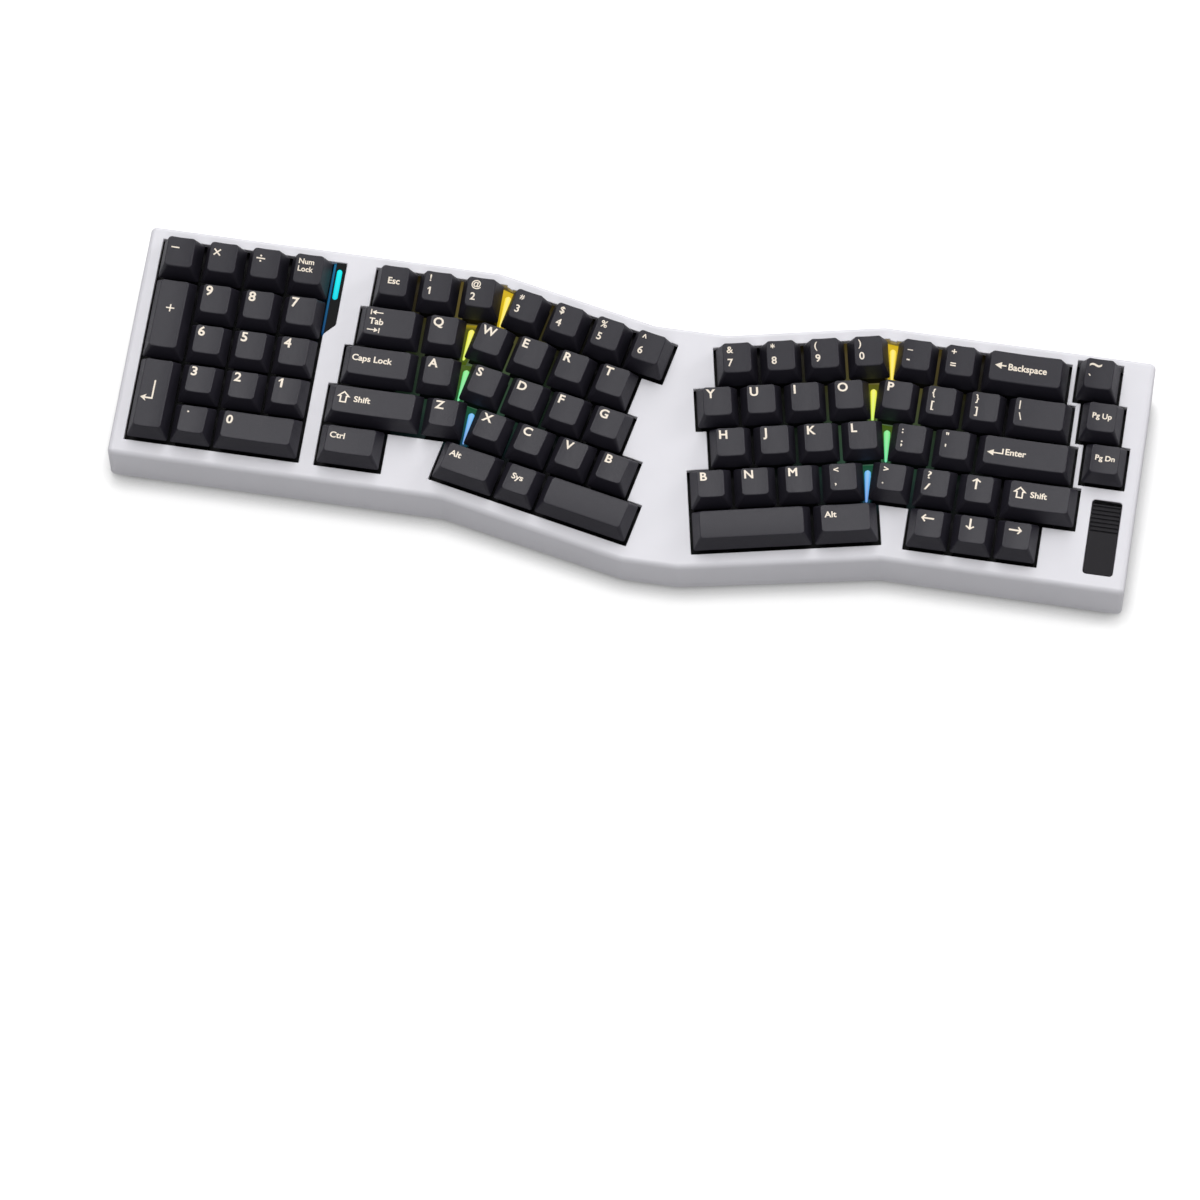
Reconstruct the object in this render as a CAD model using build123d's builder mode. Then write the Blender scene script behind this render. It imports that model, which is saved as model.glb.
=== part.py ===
from build123d import *
import math
import os
from functools import cache
from typing import NamedTuple

# Ergonomic mechanical keyboard, all lengths in mm.
# The deck is the sloping top face of the case. Deck coordinates run x to the right,
# y to the rear and height along the deck's normal, with the origin at the top left
# corner of the number pad's first key cell.
os.makedirs("parts", exist_ok=True)

# Overall placing
UNIT = 19.05                # pitch of one key
TYPING_ANGLE = 6.0          # slope of the deck
LEFT, RIGHT = -6.8, 438.5   # sides of the case in deck x
BACK, VALLEY_BACK = 6.3, -8.5
FRONT_LEFT, FRONT_RIGHT, VALLEY_FRONT = -103.0, -104.0, -120.35
DECK_ORIGIN_HEIGHT = 33.27
COS = math.cos(math.radians(TYPING_ANGLE))
SIN = math.sin(math.radians(TYPING_ANGLE))

# Case
CORNER_RADIUS = 2.5
KINK_RADIUS = 14.0
EDGE_BEVEL = 1.3
WALL = 2.4
DECK_THICKNESS = 2.5
SEAM_HEIGHT = 5.4
SEAM_GAP = 0.1
FOOT_HEIGHT = 2.0
FOOT_SINK = 0.5
RIM_HEIGHT = 3.2
FLOOR_TOP = 7.0
CELL_CLEARANCE = 0.55
BOSS_RADIUS = 2.4
SCREW_RADIUS = 1.0
HEAD_RADIUS = 1.8

# Layers below the deck, as heights along its normal
PLATE_TOP = -6.5
PLATE_THICKNESS = 1.5
BOARD_TOP = -10.5
BOARD_THICKNESS = 1.6
LAYER_INSET = 4.2

# Switches and keycaps
SKIRT = 1.0                 # bottom edge of a cap at rest
CAP_GAP = 1.1               # between two caps
CAP_WALL = 1.3
TOP_NARROWING = 5.9
TOP_SHORTENING = 4.5
TOP_SET_BACK = 0.5
DISH_DEPTH = 0.5
STEM = (7.0, 5.4)
STEM_BOTTOM = -1.2
BORE_GAP = 0.3
BORE_BOTTOM = -5.7
HOUSING_TOP = 0.6
STABILISER_SPREAD = 11.94
STABILISER_STEM = (3.6, 5.0)
STABILISER_BODY = (6.6, 12.3)
STABILISER_TOP = -0.5
HOUSING_FLANGE = 15.6
HOUSING_CROWN = 11.0
CAP_ROOF = 1.2
LOWEST_CEILING = 5.0
CROWN_RISE = 0.3            # crest of a spacebar over the middle of its top plane
CROWN_RADIUS = 34.0
TOP_REACH = 1.4             # leaning sides are drawn past the top plane, then cut to it

# Base
TROUGH_LEFT, TROUGH_RIGHT = 3.7, 428.0
TROUGH_BACK, TROUGH_SLOPE_END, PLATE_BACK = -28.0, -32.5, -54.7
TROUGH_CEILING = 10.0
PLATE_INSET = 2.2
PLATE_UPPER = 4.4
FIN_PITCH = 3.5
FIN_COUNT = 6
FIN_BASE = 1.0
FIN_HEIGHT = 2.5
FIN_WIDTH = 1.5

ORIGIN_X = -(LEFT + RIGHT) / 2
ORIGIN_Y = -(BACK + VALLEY_FRONT) / 2 * COS
DECK = Plane(
    origin=(ORIGIN_X, ORIGIN_Y, DECK_ORIGIN_HEIGHT),
    x_dir=(1, 0, 0),
    z_dir=(0, -SIN, COS),
)
PLAN = Plane(origin=(ORIGIN_X, ORIGIN_Y, 0))

CASE_OUTLINE = [
    (LEFT, BACK),
    (148.6, BACK),
    (219.8, VALLEY_BACK),
    (252.0, VALLEY_BACK),
    (319.0, 5.3),
    (RIGHT, 5.3),
    (RIGHT, FRONT_RIGHT),
    (333.2, -103.4),
    (247.4, VALLEY_FRONT),
    (222.9, VALLEY_FRONT),
    (141.0, FRONT_LEFT),
    (LEFT, FRONT_LEFT),
]


class Block(NamedTuple):
    """A group of key rows sharing one origin and one turn."""

    x: float
    y: float
    turn: float


class Cap(NamedTuple):
    """Shape of a keycap row: height over the skirt and forward rise of its top."""

    rise: float
    tilt: float
    convex: bool = False


class Key(NamedTuple):
    """One key: its node, its name, centre in deck coordinates, size and cap."""

    node: str
    name: str
    x: float
    y: float
    width: float
    height: float
    turn: float
    cap: Cap


PAD = Block(0.0, 0.0, 0.0)
LEFT_STRAIGHT = Block(0.0, 0.0, 0.0)
LEFT_TURNED = Block(156.14, -1.86, -11.6)
RIGHT_TURNED = Block(247.23, -16.33, 11.6)
RIGHT_STRAIGHT = Block(21.107 * UNIT, -1.57, 0.0)
SIDE_COLUMN = Block(21.273 * UNIT, 1.02, 0.0)

DIGIT = Cap(9.8, -4.2)
UPPER = Cap(7.45, 2.5)
HOME = Cap(6.55, 5.0)
LOWER = Cap(6.7, 11.5)
SPACE = Cap(6.9, 8.0, convex=True)
TALL = Cap(7.0, 3.0)

KEYS: list[Key] = []


def row(node, names, start, line, cap, block, widths=None, height=1.0):
    """Add a run of keys; an empty node name gives each key a node of its own."""
    widths = widths or [1.0] * len(names)
    turn = math.radians(block.turn)
    for name, width in zip(names, widths):
        u = (start + width / 2) * UNIT
        v = -(line + height / 2) * UNIT
        x = block.x + u * math.cos(turn) - v * math.sin(turn)
        y = block.y + u * math.sin(turn) + v * math.cos(turn)
        KEYS.append(Key(node or f"{name}_key", name, x, y, width, height, block.turn, cap))
        start += width


row("pad_operator_keys", ["minus", "times", "divide", "num"], 0, 0, DIGIT, PAD)
row("pad_upper_keys", ["nine", "eight", "seven"], 1, 1, UPPER, PAD)
row("pad_middle_keys", ["six", "five", "four"], 1, 2, HOME, PAD)
row("pad_lower_keys", ["three", "two", "one"], 1, 3, LOWER, PAD)
row("", ["pad_plus"], 0, 1, TALL, PAD, height=2.0)
row("", ["pad_enter"], 0, 3, TALL, PAD, height=2.0)
row("", ["pad_point", "pad_zero"], 1, 4, LOWER, PAD, [1.0, 2.0])

row("", ["escape"], 5.0, 0, DIGIT, LEFT_STRAIGHT)
row("left_digit_keys", ["1", "2"], 6.0, 0, DIGIT, LEFT_STRAIGHT)
row("", ["tab"], 4.8, 1, UPPER, LEFT_STRAIGHT, [1.5])
row("left_upper_keys", ["q"], 6.3, 1, UPPER, LEFT_STRAIGHT)
row("", ["caps_lock"], 4.6, 2, HOME, LEFT_STRAIGHT, [1.75])
row("left_home_keys", ["a"], 6.35, 2, HOME, LEFT_STRAIGHT)
row("", ["left_shift"], 4.4, 3, LOWER, LEFT_STRAIGHT, [2.25])
row("left_lower_keys", ["z"], 6.65, 3, LOWER, LEFT_STRAIGHT)
row("", ["control"], 4.4, 4, LOWER, LEFT_STRAIGHT, [1.5])

row("left_digit_keys", ["3", "4", "5", "6"], 0.0, 0, DIGIT, LEFT_TURNED)
row("left_upper_keys", ["w", "e", "r", "t"], -0.5, 1, UPPER, LEFT_TURNED)
row("left_home_keys", ["s", "d", "f", "g"], -0.25, 2, HOME, LEFT_TURNED)
row("left_lower_keys", ["x", "c", "v", "b"], 0.25, 3, LOWER, LEFT_TURNED)
row("", ["left_alt", "system"], -0.14, 4, LOWER, LEFT_TURNED, [1.5, 1.0])
row("", ["left_space"], 2.36, 4, SPACE, LEFT_TURNED, [2.25])

row("right_digit_keys", ["7", "8", "9", "0"], 0.0, 0, DIGIT, RIGHT_TURNED)
row("right_upper_keys", ["y", "u", "i", "o"], -0.5, 1, UPPER, RIGHT_TURNED)
row("right_home_keys", ["h", "j", "k", "l"], -0.25, 2, HOME, RIGHT_TURNED)
row("right_lower_keys", ["second_b", "n", "m", "comma"], -0.75, 3, LOWER, RIGHT_TURNED)
row("", ["right_space"], -0.75, 4, SPACE, RIGHT_TURNED, [2.75])
row("", ["right_alt"], 2.0, 4, LOWER, RIGHT_TURNED, [1.5])

row("right_digit_keys", ["hyphen", "equals"], -4.0, 0, DIGIT, RIGHT_STRAIGHT)
row("", ["backspace"], -2.0, 0, DIGIT, RIGHT_STRAIGHT, [2.0])
row("right_upper_keys", ["p", "open", "close"], -4.3, 1, UPPER, RIGHT_STRAIGHT)
row("", ["backslash"], -1.3, 1, UPPER, RIGHT_STRAIGHT, [1.5])
row("right_home_keys", ["colon", "quote"], -3.85, 2, HOME, RIGHT_STRAIGHT)
row("", ["enter"], -1.85, 2, HOME, RIGHT_STRAIGHT, [2.25])
row("right_lower_keys", ["period", "slash"], -4.15, 3, LOWER, RIGHT_STRAIGHT)
row("", ["up", "right_shift"], -2.15, 3, LOWER, RIGHT_STRAIGHT, [1.0, 1.75])
row("", ["left", "down", "right"], -3.15, 4, LOWER, RIGHT_STRAIGHT)

row("", ["tilde"], 0.0, 0, DIGIT, SIDE_COLUMN)
row("", ["page_up"], 0.2, 1, UPPER, SIDE_COLUMN)
row("", ["page_down"], 0.4, 2, HOME, SIDE_COLUMN)

STABILISED = [key for key in KEYS if max(key.width, key.height) >= 2.0]

# Places where a turned block meets a straight one, row by row
JUNCTIONS = [
    [("2", "3"), ("q", "w"), ("a", "s"), ("z", "x")],
    [("0", "hyphen"), ("o", "p"), ("l", "colon"), ("comma", "period")],
]

# Indicator window beside the number pad
WINDOW = [(75.0, 0.6), (81.6, 0.6), (81.6, -29.1), (76.5, -34.5), (75.0, -34.5)]
BEZEL_DROP = 0.5
BAR_DEPTH = 1.5
BEZEL = [(77.0, 0.4), (81.4, 0.4), (81.4, -29.0), (77.0, -33.6)]
BAR_CENTRE = (78.9, -9.75)
BAR_SIZE = (14.4, 2.2)
STRIP_WIDTH = 1.1
STRIP_HEIGHT = 5.2

STRIP_X = BEZEL[0][0] - STRIP_WIDTH / 2 - 0.05

# Side module in the right border
MODULE_CENTRE = (426.05, -79.55)
MODULE_SIZE = (13.1, 34.7)
MODULE_CORNER = 1.6
MODULE_GAP = 0.3
MODULE_DEPTH = 1.7
RIB_PITCH = 1.9
RIB_COUNT = 8
RIB_START = 1.4             # first groove from the rear end
RIB_DEPTH = 0.6

# Lights in the gaps between the blocks
WEDGE_HEIGHT = 3.2
LENS_HEAD = 1.45            # radius of the lens's round end
LENS_TAIL = 0.55
HEAD_SHARE, TAIL_SHARE = 0.2, 0.9    # places of the two round ends along a gap
FRAME_SHARE = 0.97          # front end of the frame along a gap
FRAME_OVERLAP = 1.2

# Plate under the valley that stays bare
NAMEPLATE_SINK = 0.7
NAMEPLATE_X, NAMEPLATE_Y = 235.15, -107.5
NAMEPLATE = [
    (NAMEPLATE_X - 29.5, NAMEPLATE_Y),
    (NAMEPLATE_X + 29.5, NAMEPLATE_Y),
    (NAMEPLATE_X + 29.5, NAMEPLATE_Y - 1.8),
    (NAMEPLATE_X + 15.0, NAMEPLATE_Y - 6.3),
    (NAMEPLATE_X - 15.0, NAMEPLATE_Y - 6.3),
    (NAMEPLATE_X - 29.5, NAMEPLATE_Y - 1.8),
]

# Pads and foam: centre, length and width of each pad, start and end of each foam strip
GASKETS = [
    (-1.6, -50.0, 1.8, 14.0),
    (80.0, -66.0, 4.0, 12.0),
    (86.0, -30.0, 6.0, 10.0),
    (229.5, -45.0, 12.0, 8.0),
    (234.0, -85.0, 10.0, 8.0),
    (70.0, -97.5, 14.0, 2.0),
    (424.0, -90.0, 8.0, 8.0),
    (429.5, -10.0, 5.0, 12.0),
]
FOAM_SPANS = [(15.0, 200.0), (272.0, 415.0)]
FOAM_THICKNESS = 5.0

# Screws near the front wall and below the rear feet
FRONT_SCREWS = [(30.0, -97.8), (120.0, -97.8), (355.0, -98.6), (414.0, -98.6)]
REAR_SCREWS = [(3.0, -3.4), (428.7, -4.4)]
SCREW_SETS = ((FRONT_SCREWS, PLATE_UPPER), (REAR_SCREWS, FOOT_HEIGHT + FOOT_SINK))
HEAD_DEPTH = 1.2
HEAD_THICKNESS = 1.0
SCREW_LENGTH = 5.0
REAR_FLOOR = SEAM_HEIGHT - SEAM_GAP
LUG_TOP = 11.0

# Feet: right-angled triangles with their square corner outward
FOOT_LEG = 14.5
FOOT_CORNER = 1.5
FEET = [(-2.0, 1.5, 1, -1), (433.7, 0.5, -1, -1), (-0.6, -96.8, 1, 1), (432.3, -97.8, -1, 1)]

# Socket and its small board in the rear wall of the valley
PORT_X = 235.9
PORT_HEIGHT = 14.0
PORT_SIZE = (12.0, 7.0)
SOCKET_SIZE = (9.0, 3.2)
SOCKET_SETBACK = 5.0
SOCKET_LENGTH = 7.3
SMALL_BOARD = (20.0, 12.0)
SMALL_BOARD_THICKNESS = 1.2
REAR_WALL_Y = VALLEY_BACK * COS


PORT_PLANE = Plane(
    origin=(ORIGIN_X + PORT_X, ORIGIN_Y, PORT_HEIGHT),
    x_dir=(1, 0, 0),
    z_dir=(0, 1, 0),
)


def corners(key):
    """Return the back left, back right, front right and front left cell corners."""
    turn = math.radians(key.turn)
    half_x, half_y = key.width * UNIT / 2, key.height * UNIT / 2
    return [
        (
            key.x + u * math.cos(turn) - v * math.sin(turn),
            key.y + u * math.sin(turn) + v * math.cos(turn),
        )
        for u, v in ((-half_x, half_y), (half_x, half_y), (half_x, -half_y), (-half_x, -half_y))
    ]


def hull(points):
    """Return the convex hull of plane points, counter-clockwise."""
    ordered = sorted(set(points))

    def chain(sequence):
        line = []
        for x, y in sequence:
            while len(line) > 1:
                (ax, ay), (bx, by) = line[-2], line[-1]
                if (bx - ax) * (y - ay) - (by - ay) * (x - ax) > 1e-6:
                    break
                line.pop()
            line.append((x, y))
        return line[:-1]

    return chain(ordered) + chain(reversed(ordered))


def outline(plane, inset=0.0, squeeze=1.0, rounded=True):
    """Return the case outline on a plane, moved inwards; hidden ones stay sharp."""
    with BuildSketch(plane) as sketch:
        with BuildLine():
            Polyline(*[(x, y * squeeze) for x, y in CASE_OUTLINE], close=True)
        make_face()
        if inset:
            offset(amount=-inset, kind=Kind.INTERSECTION)
        if rounded:
            sides = sketch.vertices().group_by(Axis.X)
            ends = sides[0] + sides[-1]
            kinks = [vertex for vertex in sketch.vertices() if vertex not in ends]
            fillet(kinks, KINK_RADIUS)
            sides = sketch.vertices().group_by(Axis.X)
            fillet(sides[0] + sides[-1], CORNER_RADIUS)
    return sketch.sketch


def footprint(height, inset=0.0, rounded=True):
    """Return the case outline on a level plane at a height over the desk."""
    return outline(PLAN.offset(height), inset, COS, rounded)


def screw_sketch(spots, height, radius):
    """Return the six-sided outlines of screws on a level plane."""
    with BuildSketch(PLAN.offset(height)) as sketch:
        with Locations([(x, y * COS) for x, y in spots]):
            RegularPolygon(radius, 6)
    return sketch.sketch


def key_spots(keys):
    """Return the place of every key as locations on the deck."""
    return [DECK.location * Location((key.x, key.y, 0), (0, 0, key.turn)) for key in keys]


def stabiliser_spots():
    """Return the two stabiliser places of every wide or tall key."""
    spots = []
    for key, spot in zip(STABILISED, key_spots(STABILISED)):
        quarter = 90 if key.height > key.width else 0
        for side in (-STABILISER_SPREAD, STABILISER_SPREAD):
            spots.append(spot * Location((0, 0, 0), (0, 0, quarter)) * Location((side, 0, 0)))
    return spots


def openings(plane):
    """Return the key wells of the deck as one sketch."""
    with BuildSketch(plane) as sketch:
        for key in KEYS:
            with Locations(Location((key.x, key.y), key.turn)):
                Rectangle(
                    key.width * UNIT + 2 * CELL_CLEARANCE,
                    key.height * UNIT + 2 * CELL_CLEARANCE,
                )
        by_name = {key.name: key for key in KEYS}
        for side in JUNCTIONS:
            pairs = [(corners(by_name[a]), corners(by_name[b])) for a, b in side]
            for left, right in pairs:
                Polygon(*hull([left[1], left[2], right[0], right[3]]), align=None)
            for upper, lower in zip(pairs, pairs[1:]):
                strip = [upper[0][3], upper[0][2], upper[1][3], upper[1][2]]
                strip += [lower[0][0], lower[0][1], lower[1][0], lower[1][1]]
                Polygon(*hull(strip), align=None)
        for side, (below, corner) in zip(JUNCTIONS, (("left_alt", 0), ("right_alt", 1))):
            left, right = (corners(by_name[name]) for name in side[-1])
            Polygon(*hull([left[2], right[3], corners(by_name[below])[corner]]), align=None)
        Polygon(*WINDOW, align=None)
    return sketch.sketch


# Upper half of the case: outer body, cavity, screw bosses, then the wells cut through

with BuildPart() as top_case:
    extrude(footprint(SEAM_HEIGHT), amount=60)
    split(bisect_by=DECK, keep=Keep.BOTTOM)
    chamfer(top_case.faces().sort_by(Axis.Z)[-1].outer_wire().edges(), EDGE_BEVEL)

with BuildPart() as case_cavity:
    extrude(footprint(SEAM_HEIGHT, WALL, rounded=False), amount=60)
    split(bisect_by=DECK.offset(-DECK_THICKNESS), keep=Keep.BOTTOM)

with BuildPart() as front_bosses:
    with BuildSketch(PLAN.offset(FLOOR_TOP)):
        with Locations([(x, y * COS - 1.5) for x, y in FRONT_SCREWS]):
            Rectangle(2 * BOSS_RADIUS, 2 * BOSS_RADIUS + 3.0)
    extrude(amount=40)
    split(bisect_by=DECK.offset(-DECK_THICKNESS), keep=Keep.BOTTOM)
    extrude(screw_sketch(FRONT_SCREWS, FLOOR_TOP, SCREW_RADIUS), amount=6, mode=Mode.SUBTRACT)

with BuildPart() as rear_lugs:
    with BuildSketch(PLAN.offset(REAR_FLOOR)):
        for x, y in REAR_SCREWS:
            side = 1 if x > 200 else -1
            with Locations((x + side * 3.0, y * COS + 2.0)):
                Rectangle(11.0, 9.0)
    extrude(amount=LUG_TOP - REAR_FLOOR)
    extrude(screw_sketch(REAR_SCREWS, REAR_FLOOR, SCREW_RADIUS), amount=4, mode=Mode.SUBTRACT)

with BuildPart() as top_case_shell:
    add(top_case.part)
    add(case_cavity.part, mode=Mode.SUBTRACT)
    extrude(openings(DECK), amount=-2 * DECK_THICKNESS, mode=Mode.SUBTRACT)
    add(front_bosses.part)
    add(rear_lugs.part)
    with BuildSketch(DECK):
        with Locations(MODULE_CENTRE):
            RectangleRounded(*MODULE_SIZE, MODULE_CORNER)
    extrude(amount=-MODULE_DEPTH, mode=Mode.SUBTRACT)
    with BuildSketch(PORT_PLANE):
        port = Rectangle(*PORT_SIZE)
        chamfer(port.vertices(), 1.5)
    extrude(amount=-12, mode=Mode.SUBTRACT)
top_case_shell.part.label = "top_case"

# Lower half: a rim under the walls, a raised floor, the rear block and the trough
BEHIND_PLATE = PLATE_BACK + 0.2
CUTTER = (500.0, 100.0)     # block wide enough to cut the whole base across
TROUGH_HOUSING_TOP = 12.0
MIDDLE_X = (LEFT + RIGHT) / 2
SMALL_BOARD_Z = PORT_HEIGHT - SOCKET_SIZE[1] / 2 - SMALL_BOARD_THICKNESS
SMALL_BOARD_Y = REAR_WALL_Y - SOCKET_SETBACK - SMALL_BOARD[1] / 2


def side_profile(points, start, end):
    """Return a prism with a profile in y and height that runs along x."""
    plane = Plane(
        origin=(ORIGIN_X + start, ORIGIN_Y, 0),
        x_dir=(0, 1, 0),
        z_dir=(1, 0, 0),
    )
    with BuildPart() as prism:
        with BuildSketch(plane):
            Polygon(*points, align=None)
        extrude(amount=end - start)
    return prism.part


def triangles(height, growth=0.0):
    """Return the four rounded triangles of the feet, grown by an amount."""
    with BuildSketch(PLAN.offset(height)) as sketch:
        for x, y, step_x, step_y in FEET:
            points = [(x, y), (x + step_x * FOOT_LEG, y), (x, y + step_y * FOOT_LEG)]
            Polygon(*hull(points), align=None)
        chamfer(sketch.vertices(), FOOT_CORNER)
        if growth:
            offset(amount=growth, kind=Kind.INTERSECTION)
    return sketch.sketch


with BuildPart() as bottom_case:
    extrude(footprint(RIM_HEIGHT), amount=SEAM_HEIGHT - SEAM_GAP - RIM_HEIGHT)
    extrude(footprint(RIM_HEIGHT, WALL + 0.2, rounded=False), amount=FLOOR_TOP - RIM_HEIGHT)
    with BuildSketch(PLAN.offset(REAR_FLOOR)):
        with Locations((MIDDLE_X, TROUGH_BACK + WALL + CUTTER[1] / 2)):
            Rectangle(*CUTTER)
    extrude(amount=10, mode=Mode.SUBTRACT)
    extrude(footprint(FOOT_HEIGHT), amount=RIM_HEIGHT - FOOT_HEIGHT)
    with BuildSketch(PLAN.offset(RIM_HEIGHT)):
        with Locations(((TROUGH_LEFT + TROUGH_RIGHT) / 2, (TROUGH_BACK + PLATE_BACK) / 2)):
            Rectangle(
                TROUGH_RIGHT - TROUGH_LEFT + 2 * WALL,
                TROUGH_BACK - PLATE_BACK + 2 * WALL,
            )
    extrude(amount=TROUGH_HOUSING_TOP - RIM_HEIGHT)
    trough = [
        (TROUGH_BACK, FOOT_HEIGHT),
        (TROUGH_SLOPE_END, TROUGH_CEILING),
        (PLATE_BACK, TROUGH_CEILING),
        (PLATE_BACK, FOOT_HEIGHT),
    ]
    add(side_profile(trough, TROUGH_LEFT, TROUGH_RIGHT), mode=Mode.SUBTRACT)
    below = [(BEHIND_PLATE, 0), (BEHIND_PLATE, RIM_HEIGHT), (-200, RIM_HEIGHT), (-200, 0)]
    add(side_profile(below, LEFT - 10, RIGHT + 10), mode=Mode.SUBTRACT)
    with BuildSketch(PLAN.offset(RIM_HEIGHT)):
        add(outline(Plane.XY, PLATE_INSET - 0.15, COS))
        with Locations((MIDDLE_X, BEHIND_PLATE + CUTTER[1] / 2)):
            Rectangle(*CUTTER, mode=Mode.SUBTRACT)
    extrude(amount=PLATE_UPPER - RIM_HEIGHT, mode=Mode.SUBTRACT)
    extrude(triangles(FOOT_HEIGHT, 0.15), amount=FOOT_SINK, mode=Mode.SUBTRACT)
    for spots, start in SCREW_SETS:
        head, shank = HEAD_RADIUS + 0.2, SCREW_RADIUS + 0.15
        extrude(screw_sketch(spots, start, head), amount=HEAD_DEPTH, mode=Mode.SUBTRACT)
        extrude(screw_sketch(spots, start, shank), amount=FLOOR_TOP, mode=Mode.SUBTRACT)
    with BuildSketch(PLAN.offset(REAR_FLOOR)):
        with Locations((PORT_X, SMALL_BOARD_Y)):
            with GridLocations(0, SMALL_BOARD[1] - 2, 1, 2):
                Rectangle(SMALL_BOARD[0], 2)
    extrude(amount=SMALL_BOARD_Z - REAR_FLOOR)
bottom_case.part.label = "bottom_case"

with BuildPart() as base_plate:
    extrude(footprint(FOOT_HEIGHT, PLATE_INSET), amount=PLATE_UPPER - FOOT_HEIGHT)
    with BuildSketch(PLAN):
        with Locations((MIDDLE_X, PLATE_BACK + CUTTER[1] / 2)):
            Rectangle(*CUTTER)
    extrude(amount=10, mode=Mode.SUBTRACT)
    bevel = [
        (PLATE_BACK - 2.4, FOOT_HEIGHT),
        (PLATE_BACK, FOOT_HEIGHT + 1.2),
        (PLATE_BACK + 1, FOOT_HEIGHT + 1.2),
        (PLATE_BACK + 1, FOOT_HEIGHT - 1),
        (PLATE_BACK - 2.4, FOOT_HEIGHT - 1),
    ]
    add(side_profile(bevel, LEFT, RIGHT), mode=Mode.SUBTRACT)
    extrude(triangles(FOOT_HEIGHT, 0.15), amount=FOOT_SINK, mode=Mode.SUBTRACT)
    with BuildSketch(PLAN.offset(FOOT_HEIGHT)):
        Polygon(*NAMEPLATE, align=None)
        offset(amount=0.15, kind=Kind.INTERSECTION)
    extrude(amount=NAMEPLATE_SINK, mode=Mode.SUBTRACT)
base_plate.part.label = "base_plate"

with BuildPart() as nameplate:
    with BuildSketch(PLAN.offset(FOOT_HEIGHT)):
        Polygon(*NAMEPLATE, align=None)
    extrude(amount=NAMEPLATE_SINK)
nameplate.part.label = "nameplate"

with BuildPart() as rubber_feet:
    extrude(triangles(0), amount=FOOT_HEIGHT + FOOT_SINK)
rubber_feet.part.label = "rubber_feet"

fin_plane = Plane(
    origin=(ORIGIN_X + TROUGH_LEFT + 0.3, ORIGIN_Y, 0),
    x_dir=(0, 1, 0),
    z_dir=(1, 0, 0),
)
fin_back = TROUGH_SLOPE_END - 0.3
fin_front = PLATE_BACK + 0.3
with BuildPart() as fin_insert:
    with BuildSketch(fin_plane):
        with Locations(((fin_back + fin_front) / 2, TROUGH_CEILING - FIN_BASE / 2)):
            Rectangle(fin_back - fin_front, FIN_BASE)
        with Locations(((fin_back + fin_front) / 2, TROUGH_CEILING - FIN_BASE - FIN_HEIGHT / 2)):
            with GridLocations(FIN_PITCH, 0, FIN_COUNT, 1):
                Rectangle(FIN_WIDTH, FIN_HEIGHT)
    extrude(amount=TROUGH_RIGHT - TROUGH_LEFT - 0.6)
fin_insert.part.label = "fin_insert"

with BuildPart() as case_screws:
    for spots, start in SCREW_SETS:
        seat = start + HEAD_DEPTH
        extrude(screw_sketch(spots, seat - HEAD_THICKNESS, HEAD_RADIUS), amount=HEAD_THICKNESS)
        extrude(screw_sketch(spots, seat, SCREW_RADIUS - 0.05), amount=SCREW_LENGTH)
case_screws.part.label = "case_screws"

# Small parts set into the deck
with BuildPart() as side_insert:
    with BuildSketch(DECK):
        with Locations(MODULE_CENTRE):
            RectangleRounded(
                MODULE_SIZE[0] - MODULE_GAP, MODULE_SIZE[1] - MODULE_GAP, MODULE_CORNER - 0.1
            )
    extrude(amount=-MODULE_DEPTH)
    with BuildSketch(DECK):
        with Locations((MODULE_CENTRE[0], MODULE_CENTRE[1] + MODULE_SIZE[1] / 2 - RIB_START)):
            for index in range(RIB_COUNT):
                with Locations((0, -index * RIB_PITCH)):
                    Rectangle(MODULE_SIZE[0] - 1.2, RIB_PITCH / 2)
    extrude(amount=-RIB_DEPTH, mode=Mode.SUBTRACT)
side_insert.part.label = "side_insert"

with BuildPart() as indicator_bezel:
    with BuildSketch(DECK.offset(PLATE_TOP)):
        Polygon(*BEZEL, align=None)
    extrude(amount=-PLATE_TOP - BEZEL_DROP)
    with BuildSketch(DECK.offset(-BEZEL_DROP)):
        with Locations(Location(BAR_CENTRE, 90)):
            SlotOverall(BAR_SIZE[0] + 0.2, BAR_SIZE[1] + 0.2)
    extrude(amount=-BAR_DEPTH, mode=Mode.SUBTRACT)
indicator_bezel.part.label = "indicator_bezel"

with BuildPart() as indicator_light_bar:
    with BuildSketch(DECK.offset(-BEZEL_DROP - BAR_DEPTH)):
        with Locations(Location(BAR_CENTRE, 90)):
            SlotOverall(*BAR_SIZE)
    extrude(amount=BAR_DEPTH)
    with BuildSketch(DECK.offset(PLATE_TOP)):
        with Locations((STRIP_X, (BEZEL[0][1] + BEZEL[3][1]) / 2)):
            Rectangle(STRIP_WIDTH, BEZEL[0][1] - BEZEL[3][1])
    extrude(amount=STRIP_HEIGHT)
indicator_light_bar.part.label = "indicator_light_bar"


def wedge_gaps():
    """Return back left, back right and front tip of the eight gaps between key blocks."""
    by_name = {key.name: key for key in KEYS}
    gaps = []
    for left, right in JUNCTIONS[0] + JUNCTIONS[1]:
        back, front = corners(by_name[left])[1:3]
        turned_back, turned_front = corners(by_name[right])[0], corners(by_name[right])[3]
        gaps.append((back, turned_back, between(front, turned_front, 0.5)))
    return gaps


def between(start, end, share):
    """Return the point a share of the way from one point to another."""
    return (start[0] + (end[0] - start[0]) * share, start[1] + (end[1] - start[1]) * share)


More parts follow.
